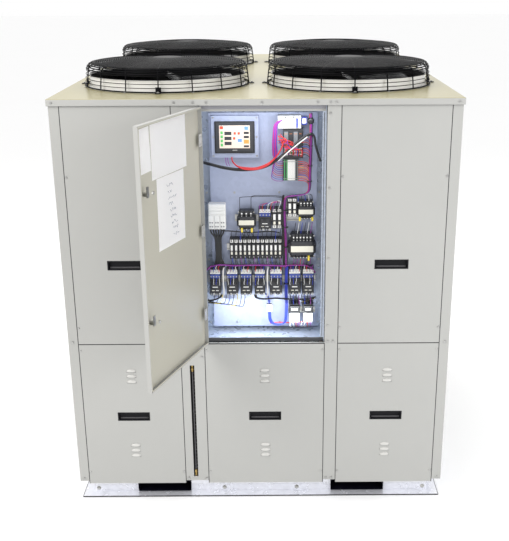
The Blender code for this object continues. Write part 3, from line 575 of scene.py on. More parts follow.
for name in FANS:
    x, y = fan_centre(name)
    collar = Piece("collar_" + name, COLLAR_PAINT, THROAT_SHADE)
    r, thick = COLLAR_R - 0.002, 0.002
    lower, upper = DECK_TOP - COLLAR_DOWN, DECK_TOP + COLLAR_UP
    profile = [(r, lower), (r, upper - 0.006), (r + 0.002, upper - 0.002), (r + 0.0055, upper),
               (r + 0.0075, upper - 0.002), (r + 0.0075, upper - 0.004), (r + 0.004, upper - 0.004),
               (r + thick, upper - 0.007), (r + thick, DECK_TOP + 0.004), (r + 0.008, DECK_TOP + 0.0008),
               (r + 0.008, DECK_TOP - 0.001), (r + thick, DECK_TOP - 0.004), (r + thick, lower)]
    collar.lathe([(a, b) for a, b in profile], (x, y, 0.0), n=128, closed=True)
    # black liner on the inner wall: painted shade down the throat
    collar.lathe([(r - 0.0006, lower), (r - 0.0006, upper - 0.01), (r - 0.0022, upper - 0.01), (r - 0.0022, lower)],
                 (x, y, 0.0), m=1, n=128, closed=True)
    collar.done(slot="deck_paint")

flange = Piece("collar_flange_screws", STEEL)
for name in FANS:
    x, y = fan_centre(name)
    for k in range(8):
        a = math.pi / 4 * (k + 0.5)
        flange.screw((x + 0.4465 * math.cos(a), y + 0.4465 * math.sin(a), DECK_TOP), (0, 0, 1), 0.0045)
flange.done(slot="machined_steel")

# ---- fan guards, rotors and motors --------------------------------------------------------
GUARD_R, GUARD_H, SHOULDER, RIBS = 0.436, 0.1375, 0.036, 16


def guard_profile():
    """Points of one rib from the base ring to the centre ring."""
    line = [(GUARD_R, 0.004), (GUARD_R - 0.004, 0.045), (GUARD_R - 0.009, 0.082)]
    centre, round_r = (GUARD_R - 0.009 - SHOULDER, 0.082), SHOULDER
    for k in range(1, 7):
        turn = math.radians(13.0 * k)
        line.append((centre[0] + round_r * math.cos(turn), centre[1] + round_r * math.sin(turn)))
    top = line[-1]
    for k in range(1, 7):
        f = k / 6
        line.append((top[0] + (0.085 - top[0]) * f, top[1] + (GUARD_H - top[1]) * math.sin(f * math.pi / 2)))
    return line


def along(line, count):
    """Evenly spaced points by length along a polyline in (radius, height)."""
    steps = [math.dist(a, b) for a, b in zip(line, line[1:])]
    total, out = sum(steps), []
    for k in range(count):
        want = total * k / (count - 1)
        i = 0
        while i < len(steps) - 1 and want > steps[i]:
            want -= steps[i]
            i += 1
        f = min(1.0, want / steps[i])
        (a0, b0), (a1, b1) = line[i], line[i + 1]
        out.append((a0 + (a1 - a0) * f, b0 + (b1 - b0) * f))
    return out


def rotor_blade(piece, index, count, z, move):
    """Swept, cambered blade with a rounded tip."""
    turn = 2 * math.pi * index / count
    spans, chords = 12, 8
    loops = []
    for i in range(spans + 1):
        f = i / spans
        radius = 0.082 + (0.389 - 0.082) * f
        chord = 0.15 + 0.12 * f - 0.05 * max(0.0, f - 0.8) * 3
        lean = math.radians(44.0 - 18.0 * f)
        sweep = 0.26 * f * f
        top, under = [], []
        for j in range(chords + 1):
            s = -0.5 + j / chords
            camber = 0.012 * (1.0 - 4.0 * s * s)
            half = 0.0026 * math.sqrt(max(0.0, 1.0 - (2 * s) ** 2)) + 0.0004
            run = s * chord * math.cos(lean) - camber * math.sin(lean) * 0.5
            rise = s * chord * math.sin(lean) + camber
            angle = turn + sweep + run / radius
            for side, bag in ((1, top), (-1, under)):
                bag.append((radius * math.cos(angle), radius * math.sin(angle), z + rise + side * half))
        loops.append(top + under[::-1])
    piece.rings(loops, 0, move=move)


for name in FANS:
    x, y = fan_centre(name)
    body = "fan_" + name
    line = guard_profile()
    cage = Piece("guard_" + name, WIRE_BLACK, STEEL)
    for k in range(RIBS):
        a = 2 * math.pi * k / RIBS - math.pi / 2
        cage.tube([(x + r * math.cos(a), y + r * math.sin(a), DECK_TOP + h) for r, h in line], 0.0033, 0, 6, fine=3)
    radii = along(line[:3], 5) + along(line[3:], 31)
    for k, (r, h) in enumerate(radii):
        gauge = 0.004 if k in (0, len(radii) - 1) else 0.0019 if k < 5 else 0.0034
        hoop = [(x + (r + 0.002) * math.cos(2 * math.pi * j / 88), y + (r + 0.002) * math.sin(2 * math.pi * j / 88),
                 DECK_TOP + h + 0.001) for j in range(88)]
        cage.tube(hoop, gauge, 0, 5, closed=True, fine=0)
    cage.lathe([(0.0, 0.0), (0.08, 0.0), (0.083, 0.002), (0.083, 0.004), (0.078, 0.0055), (0.0, 0.0065)],
               (x, y, DECK_TOP + GUARD_H - 0.003), m=0, n=40)
    for k in range(4):
        a = math.pi / 2 * k - math.pi / 2
        ux, uy = math.cos(a), math.sin(a)
        turn = Matrix.Translation((x, y, DECK_TOP)) @ Matrix.Rotation(a, 4, "Z")
        cage.outline([(0.428, 0.002), (0.4655, 0.002), (0.4655, 0.0045), (0.4385, 0.0045), (0.437, 0.03),
                      (0.434, 0.03)], "Y", -0.014, 0.014, 0, 0.0006, turn)
        cage.screw((x + 0.453 * ux, y + 0.453 * uy, DECK_TOP + 0.0045), (0, 0, 1), 0.006, 1, True)
    cage.done(nodes=("fan_guard_" + name,), slot="black_wire", weighted=False)

    wheel = Piece("rotor_" + name, BLADE, HUB)
    z0 = box("fan_rotor_" + name)[4] + 0.06
    wheel.lathe([(0.0, 0.1085), (0.06, 0.1085), (0.085, 0.104), (0.0935, 0.094), (0.0945, 0.06), (0.0945, 0.004),
                 (0.09, 0.0), (0.013, 0.0), (0.0118, -0.003), (0.0118, -0.049), (0.0, -0.049)], (x, y, z0), m=1, n=64)
    for k in range(10):
        a = 2 * math.pi * k / 10
        wheel.block(-0.003, 0.003, -0.09, -0.03, z0 + 0.105, z0 + 0.1085, 1, 0.001,
                    move=Matrix.Translation((x, y, 0)) @ Matrix.Rotation(a, 4, "Z"))
    for k in range(5):
        rotor_blade(wheel, k, 5, z0 + 0.082, Matrix.Translation((x, y, 0)))
    wheel.done(body, ("fan_rotor_" + name,), "dark_paint")
    dress("fan_motor_" + name, HUB, 0.002, 45.0)

# ---- door: lips, papers, hinges and latches ---------------------------------------------------
dress("door", CREAM, 0.0014)
lips = Piece("door_return_lips", DOOR_PAINT)
inner_face = FACE + DOOR_T
sheet_face = FACE + 0.002                             # back of the door's outer sheet
x_free = HINGE.x + DOOR_W
for x0, x1, z0, z1 in ((x_free - 0.01, x_free - 0.0015, DOOR_Z0 + 0.002, DOOR_Z1 - 0.002),
                       (HINGE.x + 0.006, x_free - 0.002, DOOR_Z0 + 0.002, DOOR_Z0 + 0.01),
                       (HINGE.x + 0.006, x_free - 0.002, DOOR_Z1 - 0.01, DOOR_Z1 - 0.002)):
    lips.block(x0, x1, inner_face - 0.002, inner_face - 0.0001, z0, z1, 0, 0.0008)
t = 0.0005
for x0, x1, z0, z1, y0, y1 in (
        (HINGE.x + 0.003, x_free - 0.003, DOOR_Z0 + 0.003, DOOR_Z1 - 0.003, sheet_face - 0.0004, sheet_face + t),
        (x_free - 0.0024, x_free - 0.002 + t, DOOR_Z0 + 0.003, DOOR_Z1 - 0.003, sheet_face, inner_face - 0.0006)):
    lips.block(x0, x1, y0, y1, z0, z1, 0, 0.0)
lips.done("door", slot="cream_paint", move=ON_DOOR)

sheets = Piece("door_papers", PAPER, INK, LABEL)


def sheet(s0, s1, z0, z1, turn=0.0, m=0):
    """Paper taped flat on the inside of the door."""
    cx, cz = HINGE.x + (s0 + s1) / 2, (z0 + z1) / 2
    move = ON_DOOR @ Matrix.Translation((cx, 0, cz)) @ Matrix.Rotation(turn, 4, "Y") @ Matrix.Translation((-cx, 0, -cz))
    y = sheet_face + 0.0008
    form = bmesh.new()
    cols, rows = 12, 16
    grid = [[form.verts.new((HINGE.x + s0 + (s1 - s0) * i / cols,
                             y + 0.0011 * abs(math.sin(3.1 * i / cols)) * (j / rows) ** 2
                             + 0.0006 * math.sin(4.2 * j / rows) ** 2, z0 + (z1 - z0) * j / rows))
             for j in range(rows + 1)] for i in range(cols + 1)]
    for a, b in zip(grid, grid[1:]):
        for j in range(rows):
            form.faces.new((a[j], a[j + 1], b[j + 1], b[j]))
    bmesh.ops.solidify(form, geom=list(form.faces), thickness=-0.0003)
    bmesh.ops.recalc_face_normals(form, faces=form.faces)
    sheets.add(form, m, move)


sheet(0.489, 0.592, 1.95, 2.146, math.radians(2.0))
sheet(0.142, 0.482, 1.905, 2.15)
sheet(0.18, 0.446, 1.567, 1.902, math.radians(-0.7))
draw = random.Random(11)
for line in range(9):
    z = 1.855 - 0.03 * line
    s = 0.352 - 0.006 * line
    for k in range(draw.randint(2, 4)):
        run = [(HINGE.x + s - 0.0055 * j - 0.02 * k + draw.uniform(-0.002, 0.002), sheet_face + 0.0026,
                z + draw.uniform(-0.008, 0.008)) for j in range(4)]
        sheets.tube(run, 0.0007, 1, 4, fine=3, move=ON_DOOR)
sheets.done("door", slot="white_plastic")

HINGE_Z = (2.007, 1.553, 1.112)
hinges = Piece("door_hinges_fixed", CREAM, STEEL)
for z in HINGE_Z:
    for a, b in ((-0.034, -0.0125), (0.0125, 0.034)):
        hinges.rod((HINGE.x, HINGE.y - 0.0002, z + a), (HINGE.x, HINGE.y - 0.0002, z + b), 0.0048, 0, 20, 0.0006)
hinges.done(slot="machined_steel")
leaves = Piece("door_hinges_moving", CREAM, STEEL)
for z in HINGE_Z:
    leaves.rod((HINGE.x, HINGE.y, z - 0.0115), (HINGE.x, HINGE.y, z + 0.0115), 0.0048, 0, 20, 0.0006)
    leaves.block(HINGE.x + 0.006, HINGE.x + 0.036, inner_face - 0.0024, inner_face - 0.0004, z - 0.03, z + 0.03, 0,
                 0.0006)
    for dz in (-0.018, 0.018):
        leaves.screw((HINGE.x + 0.022, inner_face - 0.0014, z + dz), (0, 1, 0), 0.0034, 1)
leaves.done("door", slot="machined_steel", move=ON_DOOR)

for name in ("upper", "lower"):
    node = "door_latch_" + name
    dress(node, STEEL, 0.0006)
    z0, z1 = box(node)[4:6]
    mid_z = (z0 + z1) / 2
    nut = Piece("latch_nut_" + name, STEEL, BLACK)
    spot = (HINGE.x + 0.58, inner_face + 0.0335, mid_z)
    nut.rod(spot, (spot[0], spot[1] + 0.0055, spot[2]), 0.0082, 0, 6, 0.001)
    nut.rod((spot[0], spot[1] + 0.005, spot[2]), (spot[0], spot[1] + 0.0095, spot[2]), 0.0042, 0, 16, 0.0006)
    nut.done("latch_" + name, slot="machined_steel", move=ON_DOOR)

# ---- electrical compartment -------------------------------------------------------------------
dress("electrical_enclosure", WALL, 0.0008)
dress("mounting_plate", ZINC, 0.0008)
ENC = box("electrical_enclosure")
EX0, EX1 = ENC[0], ENC[1]
trim = Piece("compartment_trim", HEADER_SHADE, SILL_SHADE, CREAM, RUBBER_AND_SHADE)
# grey header strip and dark sill strip: painted shade on the recessed frame
trim.block(EX0 + 0.004, EX1 - 0.004, ENC[2] - 0.001, ENC[2] + 0.0002, 2.145, ENC[5] - 0.001, 0, 0.0008)
trim.block(EX0 + 0.004, EX1 - 0.004, ENC[2] - 0.0016, ENC[2] - 0.0008, 2.1375, 2.148, 2, 0.0008)
trim.block(EX0 + 0.004, EX1 - 0.004, ENC[2] - 0.001, ENC[2] + 0.0002, ENC[4] + 0.0005, 0.96, 1, 0.0008)
inset = 0.0115
path = [(EX0 + inset, 0.968), (EX0 + inset, 2.13), (EX1 - inset, 2.13), (EX1 - inset, 0.968)]
for (xa, za), (xb, zb) in zip(path[0:3:2], path[1:4:2]):
    trim.tube([(xa, ENC[2] - 0.0002, za), (xb, ENC[2] - 0.0002, zb)], 0.0014, 3, 10, fine=0)
trim.done(slot="device_plastic")

RAIL = 0.0075


def rails(piece, x0, x1, z):
    """Top-hat mounting rail."""
    y = PLATE_Y
    piece.outline([(y, z - 0.0135), (y, z + 0.0135), (y - 0.001, z + 0.0135), (y - 0.001, z - 0.0135)], "X", x0, x1)
    for s in (-1, 1):
        piece.outline([(y - 0.001, z + s * 0.0125), (y - RAIL, z + s * 0.0125), (y - RAIL, z + s * 0.0175),
                       (y - RAIL + 0.001, z + s * 0.0175), (y - RAIL + 0.001, z + s * 0.0135),
                       (y - 0.001, z + s * 0.0135)][::s], "X", x0, x1)


rail = Piece("mounting_rails", STEEL, GREY)
for x0, x1, z in ((-0.12, 0.23, 1.568), (0.118, 0.235, 1.955), (0.118, 0.235, 1.826), (-0.165, 0.14, 1.412),
                  (-0.268, 0.3, 1.236), (0.15, 0.3, 1.058), (0.14, 0.21, 1.633)):
    rails(rail, x0, x1, z)
rail.done(slot="galvanised")

screws = Piece("plate_screws", STEEL)
for x in (-0.262, -0.12, 0.11, 0.316):
    for z in (2.118, 1.7, 1.34, 0.985):
        screws.screw((x, PLATE_Y, z), (0, -1, 0), 0.0042)
screws.done(slot="machined_steel")


# touchscreen
tx0, tx1, y0, y1, tz0, tz1 = box("touchscreen")
hmi = Piece("touchscreen_case", BLACK, DARK, SCREEN, ZINC, STEEL, *TILES.values())
TILE = {name: 5 + k for k, name in enumerate(TILES)}
hmi.front = y0
hmi.block(tx0, tx1, y0 + 0.0105, y1, tz0, tz1, 3, 0.0015)
for x in (tx0 + 0.01, tx1 - 0.01):
    for z in (tz0 + 0.01, (tz0 + tz1) / 2, tz1 - 0.01):
        hmi.screw((x, y0 + 0.0105, z), (0, -1, 0), 0.0034, 4)
BEZEL = (-0.213, -0.012, 1.907, 2.068)
SHOWN = (-0.189, -0.036, 1.934, 2.048)
hmi.slab(BEZEL[0], BEZEL[1], 0.003, 0.014, BEZEL[2], BEZEL[3], 0, 0.0045, 4)
hmi.slab(BEZEL[0] + 0.008, BEZEL[1] - 0.008, 0.0018, 0.006, BEZEL[2] + 0.01, BEZEL[3] - 0.008, 1, 0.003, 3)
hmi.slab(*SHOWN[0:2], 0.001, 0.004, *SHOWN[2:4], 2, 0.0006)
hmi.slab(-0.124, -0.1, 0.0008, 0.004, 1.9215, 1.9265, 4, 0.0008)


def tile(u0, u1, v0, v1, kind, r=0.0008):
    """Coloured field on the display, placed as shares of its width and height."""
    w, h = SHOWN[1] - SHOWN[0], SHOWN[3] - SHOWN[2]
    hmi.slab(SHOWN[0] + u0 * w, SHOWN[0] + u1 * w, 0.0006, 0.002, SHOWN[2] + v0 * h, SHOWN[2] + v1 * h,
             kind, r)


tile(0.02, 0.13, 0.84, 0.97, TILE["red"])
for v in (0.62, 0.44, 0.26, 0.08):
    tile(0.04, 0.12, v, v + 0.13, TILE["green"], 0.0015)
for v in (0.58, 0.36, 0.14):
    tile(0.17, 0.4, v, v + 0.15, 1)
for u, v in ((0.47, 0.6), (0.6, 0.6), (0.45, 0.38)):
    tile(u, u + 0.075, v, v + 0.11, TILE["red"], 0.003)
tile(0.6, 0.74, 0.27, 0.42, TILE["blue"])
for v in (0.62, 0.44):
    tile(0.8, 0.97, v, v + 0.11, 1)
tile(0.8, 0.97, 0.2, 0.38, TILE["amber"], 0.004)
tile(0.8, 0.97, 0.04, 0.13, 1)
tile(0.82, 0.95, 0.8, 0.96, TILE["blue"], 0.003)
hmi.done(nodes=("touchscreen",), slot="screen_case")

# controller with its modules and terminal strip
y0, y1 = box("controller")[2:4]
plc = Piece("controller_modules", WHITE, DARK, GREY, CABLES["blue"], CABLES["green"], STEEL, CABLES["orange"])
plc.front = y0
plc.block(0.104, 0.219, y0, y1, 2.037, 2.1, 0, 0.0022, 3)
plc.slab(0.107, 0.148, -0.0018, 0.001, 2.041, 2.082, 0, 0.0015)
plc.slab(0.151, 0.192, -0.0018, 0.001, 2.041, 2.082, 0, 0.0015)
plc.slab(0.1945, 0.2035, -0.0022, 0.001, 2.04, 2.098, 3, 0.001)
for k in range(11):
    x = 0.1085 + 0.01 * k
    plc.slab(x, x + 0.0078, -0.003, 0.001, 2.0875, 2.0975, 2 if k % 4 == 3 else 0, 0.0008)
    plc.stud(x + 0.0039, 2.0925, -0.0036, -0.002, 0.0021, 5, 12)
plc.block(0.221, 0.249, y0 + 0.012, y1, 2.054, 2.091, 3, 0.0018)
plc.slab(0.225, 0.245, 0.009, 0.014, 2.06, 2.085, 0, 0.001)
plc.block(0.13, 0.23, y0 + 0.008, y1, 1.886, 2.033, 1, 0.0022, 3)
for k in range(4):
    x = 0.1345 + 0.0238 * k
    plc.slab(x, x + 0.0212, 0.0042, 0.01, 1.898, 2.02, 1 if k % 2 else 2, 0.0012)
    for j in range(5):
        z = 1.905 + 0.0072 * j
        plc.slab(x + 0.003, x + 0.018, 0.0016, 0.006, z, z + 0.0055, 4 if j % 2 else 0, 0.0006)
    for j in range(3):
        plc.stud(x + 0.005 + 0.005 * j, 2.01, 0.0034, 0.006, 0.0014, 6, 10)
plc.block(0.127, 0.209, y0 + 0.02, y1, 1.77, 1.882, 2, 0.0015)
for k in range(13):
    x = 0.1283 + 0.0061 * k
    kind = (1, 4, 1, 4, 0, 0, 0, 0, 0, 0, 2, 1, 2)[k]
    plc.slab(x, x + 0.0054, 0.01, 0.022, 1.774, 1.878, kind, 0.0008)
    for z in (1.783, 1.869):
        plc.stud(x + 0.0027, z, 0.0088, 0.011, 0.0019, 5, 10)
plc.done(nodes=("controller",), slot="white_plastic")

# power block
y0, y1 = box("power_block")[2:4]
pb = Piece("power_block_parts", WHITE, GREY, BRASS, STEEL)
pb.front = y0
pb.block(-0.254, -0.165, y0 + 0.01, y1, 1.52, 1.652, 0, 0.004, 3)
for k in range(3):
    x = -0.253 + 0.0293 * k
    pb.slab(x, x + 0.0275, 0.0035, 0.014, 1.526, 1.596, 0, 0.003, 3)
    for z in (1.537, 1.558):
        for dx in (0.008, 0.0195):
            pb.stud(x + dx, z, 0.002, 0.006, 0.004, 1, 16, 0.0005)
            pb.stud(x + dx, z, 0.0014, 0.003, 0.0022, 3, 6)
for k in range(3):
    z = 1.604 + 0.0155 * k
    pb.block(-0.25, -0.169, y0 + 0.005 + 0.0012 * k, y0 + 0.013, z, z + 0.013, 0, 0.0022, 3)
pb.done(nodes=("power_block",), slot="white_plastic")


def transformer(node, yellows, tops):
    """Wound core with clamps, a pale label band, screw terminals and coloured taps."""
    x0, x1, y0, y1, z0, z1 = box(node)
    w, h = x1 - x0, z1 - z0
    tr = Piece(node + "_parts", CORE, DARK, LABEL, STEEL, CABLES["yellow"], COPPER, WHITE)
    core_y = y0 + (y1 - y0) * 0.24
    tr.front = core_y
    tr.block(x0 + 0.01, x1 - 0.01, core_y, y1 - 0.004, z0 + h * 0.1, z1 - h * 0.14, 0, 0.003)
    tr.block(x0, x1, core_y - 0.006, y1 - 0.01, z0 + h * 0.26, z1 - h * 0.36, 0, 0.006, 4)
    tr.block(x0 + w * 0.08, x1 - w * 0.08, y0 + 0.004, y1 - 0.012, z0 + h * 0.2, z1 - h * 0.28, 1, 0.012, 5)
    tr.block(x0 + w * 0.1, x1 - w * 0.1, y0 + 0.0028, y0 + 0.008, z0 + h * 0.34, z0 + h * 0.56, 2, 0.001)
    tr.block(x0 + w * 0.12, x1 - w * 0.12, core_y - 0.002, y1 - 0.006, z1 - h * 0.22, z1 - h * 0.04, 1, 0.004, 3)
    for k in range(tops):
        x = x0 + w * (0.14 + 0.72 * (k + 0.5) / tops)
        tr.slab(x - 0.0075, x + 0.0075, -0.01, 0.004, z1 - h * 0.3, z1 - h * 0.02, 1, 0.0045, 4)
        tr.stud(x, z1 - h * 0.14, -0.0125, -0.009, 0.004, 6, 14, 0.0006)
        tr.stud(x, z1 - h * 0.25, -0.012, -0.009, 0.0028, 3, 12, 0.0004)
    for k in range(tops):
        x = x0 + w * (0.16 + 0.68 * (k + 0.5) / tops)
        tr.slab(x - 0.0045, x + 0.0045, -0.008, 0.002, z0 + h * 0.06, z0 + h * 0.2, 1, 0.002, 3)
        tr.stud(x, z0 + h * 0.11, -0.0098, -0.007, 0.0026, 6, 12, 0.0004)
    for f in yellows:
        x = x0 + w * f
        tr.slab(x - 0.0052, x + 0.0052, -0.014, -0.004, z0, z0 + h * 0.2, 4, 0.0022, 3)
    for x in (x0 + 0.01, x1 - 0.01):
        for z in (z0 + h * 0.16, z1 - h * 0.1):
            tr.screw((x, core_y + 0.001, z), (0, -1, 0), 0.003, 3, True)
    tr.done(nodes=(node,), slot="transformer_core")


transformer("transformer_left", (0.26, 0.78), 3)
transformer("transformer_right", (0.16, 0.86), 4)
transformer("transformer_large", (0.74,), 6)

# fuse bank
FUSES = 12
fx0, fx1, y0, y1, fz0, fz1 = box("fuse_bank")
pitch = (fx1 - fx0) / FUSES
bank = Piece("fuse_modules", DARK, WHITE, STEEL, CABLES["green"], LABEL, BLACK)
bank.front = y0
for k in range(FUSES):
    a, b = fx0 + pitch * k + 0.0004, fx0 + pitch * (k + 1) - 0.0004
    c, h = (a + b) / 2, fz1 - fz0
    bank.block(a, b, y0 + 0.016, y1, fz0, fz1, 0, 0.0014)
    bank.slab(a + 0.0008, b - 0.0008, 0.004, 0.02, fz0 + h * 0.22, fz1 - h * 0.24, 0, 0.002, 3)
    bank.slab(c - 0.0052, c + 0.0052, 0.0022, 0.007, fz0 + h * 0.44, fz0 + h * 0.7, 1, 0.0012)
    bank.slab(c - 0.0048, c + 0.0048, 0.0026, 0.007, fz0 + h * 0.24, fz0 + h * 0.37, 4, 0.001)
    bank.slab(c - 0.003, c + 0.003, 0.0006, 0.005, fz0 + h * 0.385, fz0 + h * 0.425, 2, 0.0008)
    bank.slab(c - 0.008, c + 0.008, 0.012, 0.017, fz1 - h * 0.2, fz1 - h * 0.05, 1, 0.0014)
    for z in (fz0 + h * 0.1, fz1 - h * 0.125):
        bank.stud(c, z, 0.0104, 0.0165, 0.0036, 2, 14, 0.0004)
bank.done(nodes=("fuse_bank",), slot="white_plastic")

# contactors (left and right edge of each), relays and small breakers
CONTACTORS = ((-0.256, -0.198), (-0.168, -0.108), (-0.096, -0.035), (-0.022, 0.034), (0.058, 0.124), (0.156, 0.221),
              (0.229, 0.29))
y0, y1 = box("contactor_row")[2:4]
row = Piece("contactors_and_relays", DARK, GREY, STEEL, WHITE, CABLES["orange"], LABEL, CABLES["green"], BLACK, SHROUD)
row.front = y0


def contactor(a, b, z0, z1):
    """Contactor: pale terminal shrouds over a dark body, with a marked front and lower terminals."""
    h, c = z1 - z0, (a + b) / 2
    row.block(a, b, y0 + 0.024, y1, z0 + h * 0.02, z1, 0, 0.002)
    row.slab(a + 0.002, b - 0.002, 0.01, 0.026, z0 + h * 0.1, z1 - h * 0.36, 0, 0.003, 3)
    row.slab(a + 0.009, b - 0.009, 0.0015, 0.014, z0 + h * 0.3, z1 - h * 0.44, 0, 0.004, 4)
    row.slab(c - 0.014, c + 0.014, 0.0006, 0.006, z0 + h * 0.33, z0 + h * 0.365, 3, 0.0008)
    row.slab(c - 0.018, c - 0.004, 0.008, 0.014, z0 + h * 0.185, z0 + h * 0.215, 5, 0.0008)
    row.slab(c + 0.003, c + 0.018, 0.008, 0.014, z0 + h * 0.185, z0 + h * 0.215, 3, 0.0008)
    row.stud(c, z0 + h * 0.5, 0.0002, 0.004, 0.0085, 7, 26, 0.0012)
    row.slab(a + 0.003, b - 0.003, 0.014, 0.027, z1 - h * 0.36, z1 - h * 0.21, 8, 0.002, 3)
    row.slab(a + 0.005, b - 0.005, 0.018, 0.027, z1 - h * 0.2, z1 - h * 0.04, 3, 0.002, 3)
    for k in range(4):
        x = a + (b - a) * (k + 0.5) / 4
        row.slab(x - 0.0048, x + 0.0048, 0.0125, 0.019, z1 - h * 0.185, z1 - h * 0.055, 3, 0.0014)
        row.stud(x, z1 - h * 0.115, 0.011, 0.014, 0.0034, 2, 14, 0.0005)
        row.stud(x, z1 - h * 0.285, 0.011, 0.016, 0.0036, 2, 14, 0.0005)
        row.slab(x - 0.005, x + 0.005, 0.015, 0.025, z0, z0 + h * 0.085, 3 if k % 2 else 1, 0.0014)
        row.stud(x, z0 + h * 0.042, 0.013, 0.017, 0.0034, 2, 14, 0.0005)


for a, b in CONTACTORS:
    contactor(a, b, 1.163, 1.31)
for a, b in ((0.16, 0.217), (0.233, 0.287)):
    row.block(a, b, y0 + 0.022, y1, 1.006, 1.11, 0, 0.002)
    row.slab(a + 0.002, b - 0.002, 0.012, 0.026, 1.064, 1.104, 7, 0.003, 3)
    row.slab(a + 0.013, b - 0.013, 0.01, 0.014, 1.078, 1.09, 3, 0.0012)
    row.slab(a + 0.002, b - 0.002, 0.008, 0.026, 1.01, 1.061, 3, 0.003, 3)
    row.slab(a + 0.008, b - 0.008, 0.0066, 0.01, 1.03, 1.052, 5, 0.001)
    for k in range(4):
        x = a + (b - a) * (k + 0.5) / 4
        row.stud(x, 1.019, 0.0064, 0.01, 0.0034, 2, 16, 0.0005)
y0 = row.front = PLATE_Y - 0.0755
contactor(0.003, 0.068, 1.513, 1.629)
row.front = PLATE_Y
for a, b, z0, z1 in ((0.072, 0.097, 1.522, 1.629), (0.098, 0.123, 1.522, 1.629), (0.152, 0.175, 1.583, 1.683),
                     (0.176, 0.199, 1.583, 1.683)):
    c, h = (a + b) / 2, z1 - z0
    row.block(a, b, PLATE_Y - 0.052, PLATE_Y, z0, z1, 0, 0.0016)
    row.slab(a + 0.001, b - 0.001, -0.068, -0.05, z0 + h * 0.22, z1 - h * 0.22, 0, 0.002, 3)
    row.slab(c - 0.0062, c + 0.0062, -0.07, -0.066, z0 + h * 0.46, z0 + h * 0.74, 3, 0.0012)
    row.slab(c - 0.0056, c + 0.0056, -0.07, -0.066, z0 + h * 0.24, z0 + h * 0.38, 5, 0.001)
    for z in (z0 + h * 0.1, z1 - h * 0.12):
        row.slab(c - 0.0092, c + 0.0092, -0.056, -0.05, z - 0.0075, z + 0.0075, 3, 0.0012)
        row.stud(c, z, -0.058, -0.055, 0.0042, 2, 16, 0.0005)
row.done(nodes=("contactor_row",), slot="device_plastic")

# ---- wiring -----------------------------------------------------------------------------------
wire_kinds = list(CABLES)
loom = Piece("wiring", *CABLES.values(), WHITE, BLACK)
KIND = {name: i for i, name in enumerate(wire_kinds)}
draw = random.Random(5)


def lead(points, kind, r=0.0016):
    """Wire through (x, depth in front of the plate, z) points."""
    loom.tube([(x, PLATE_Y - d, z) for x, d, z in points], r, KIND[kind], 7, fine=7)


def bundle(points, kinds, r, spread):
    """Wires that run side by side along one path, packed round its middle."""
    for k, kind in enumerate(kinds):
        a = 2.4 * k
        off = spread * math.sqrt((k + 0.5) / len(kinds))
        dx, dd = off * math.cos(a), off * math.sin(a)
        lead([(x + dx + draw.uniform(-0.0006, 0.0006), d + dd, z + 0.5 * dx) for x, d, z in points], kind, r)


MIX = ("red", "black", "red", "purple", "red", "black", "purple", "red", "black")
# mains cables below the power block, gathered into one trunk
for k in range(6):
    x = -0.242 + 0.013 * k
    lead([(x, 0.05, 1.53), (x, 0.056, 1.505), (-0.222 + 0.006 * k, 0.052, 1.472), (-0.219 + 0.0052 * k, 0.05, 1.42),
          (-0.219 + 0.0052 * k, 0.05, 1.365), (-0.228 + 0.01 * k, 0.056, 1.325), (-0.244 + 0.009 * k, 0.064, 1.3)],
         "black", 0.0044)
lead([(-0.2, 0.05, 1.524), (-0.18, 0.054, 1.512), (-0.15, 0.052, 1.51), (-0.12, 0.048, 1.506),
      (-0.06, 0.046, 1.5), (0.01, 0.046, 1.502), (0.06, 0.05, 1.506), (0.11, 0.054, 1.5)], "black", 0.0034)
# black control cable from the left wall over the controller to the right wall
for k, r in enumerate((0.006, 0.0034)):
    lead([(-0.276, 0.06, 1.872 - 0.006 * k), (-0.232, 0.07, 1.863 - 0.007 * k), (-0.16, 0.076, 1.846 - 0.007 * k),
          (-0.08, 0.078, 1.837 - 0.007 * k), (0.0, 0.08, 1.842 - 0.006 * k), (0.06, 0.082, 1.862 - 0.006 * k),
          (0.112, 0.088, 1.898 - 0.006 * k), (0.17, 0.094, 1.948 - 0.006 * k), (0.232, 0.096, 2.0 - 0.006 * k),
          (0.266, 0.092, 2.016 - 0.006 * k), (0.284, 0.084, 2.0), (0.292, 0.076, 1.955), (0.306, 0.066, 1.906),
          (0.318, 0.058, 1.872)], "black", r)
lead([(0.105, 0.086, 1.88), (0.15, 0.098, 1.922), (0.205, 0.1, 1.968), (0.25, 0.098, 2.002)], "white", 0.003)
for k in range(3):                                     # red cable from the touchscreen to the controller
    d = 0.0035 * k
    lead([(-0.128, 0.03, 1.888), (-0.124, 0.052, 1.872), (-0.1, 0.074 + d, 1.853), (-0.06, 0.082 + d, 1.846 - d),
          (-0.005, 0.086 + d, 1.846 - d), (0.05, 0.088 + d, 1.866 - d), (0.092, 0.092 + d, 1.9),
          (0.118, 0.096 + d, 1.94), (0.132, 0.09 + d, 1.972 + d)], "red", 0.0034)
for k in range(2):
    lead([(-0.16 + 0.01 * k, 0.03, 1.886), (-0.158 + 0.012 * k, 0.05, 1.868), (-0.15 + 0.012 * k, 0.066, 1.852)],
         "purple", 0.0016)
# arcs of wire on the left of the terminal strip, up to the controller
for k in range(11):
    z = 1.872 - 0.0098 * k
    reach = 0.093 - 0.0016 * k
    kind = ("purple", "purple", "red", "purple", "blue")[k % 5]
    lead([(0.13, 0.056, z), (0.118, 0.064, z - 0.001), (reach + 0.01, 0.068, z + 0.004),
          (reach - 0.006, 0.07, z + 0.03), (0.078 + 0.0022 * k, 0.07, 1.905), (0.076 + 0.0022 * k, 0.07, 1.96),
          (0.08 + 0.002 * k, 0.07, 2.02), (0.086 + 0.0016 * k, 0.07, 2.056),
          (0.1 + 0.003 * k, 0.072, 2.074 + 0.001 * k)], kind, 0.0015)
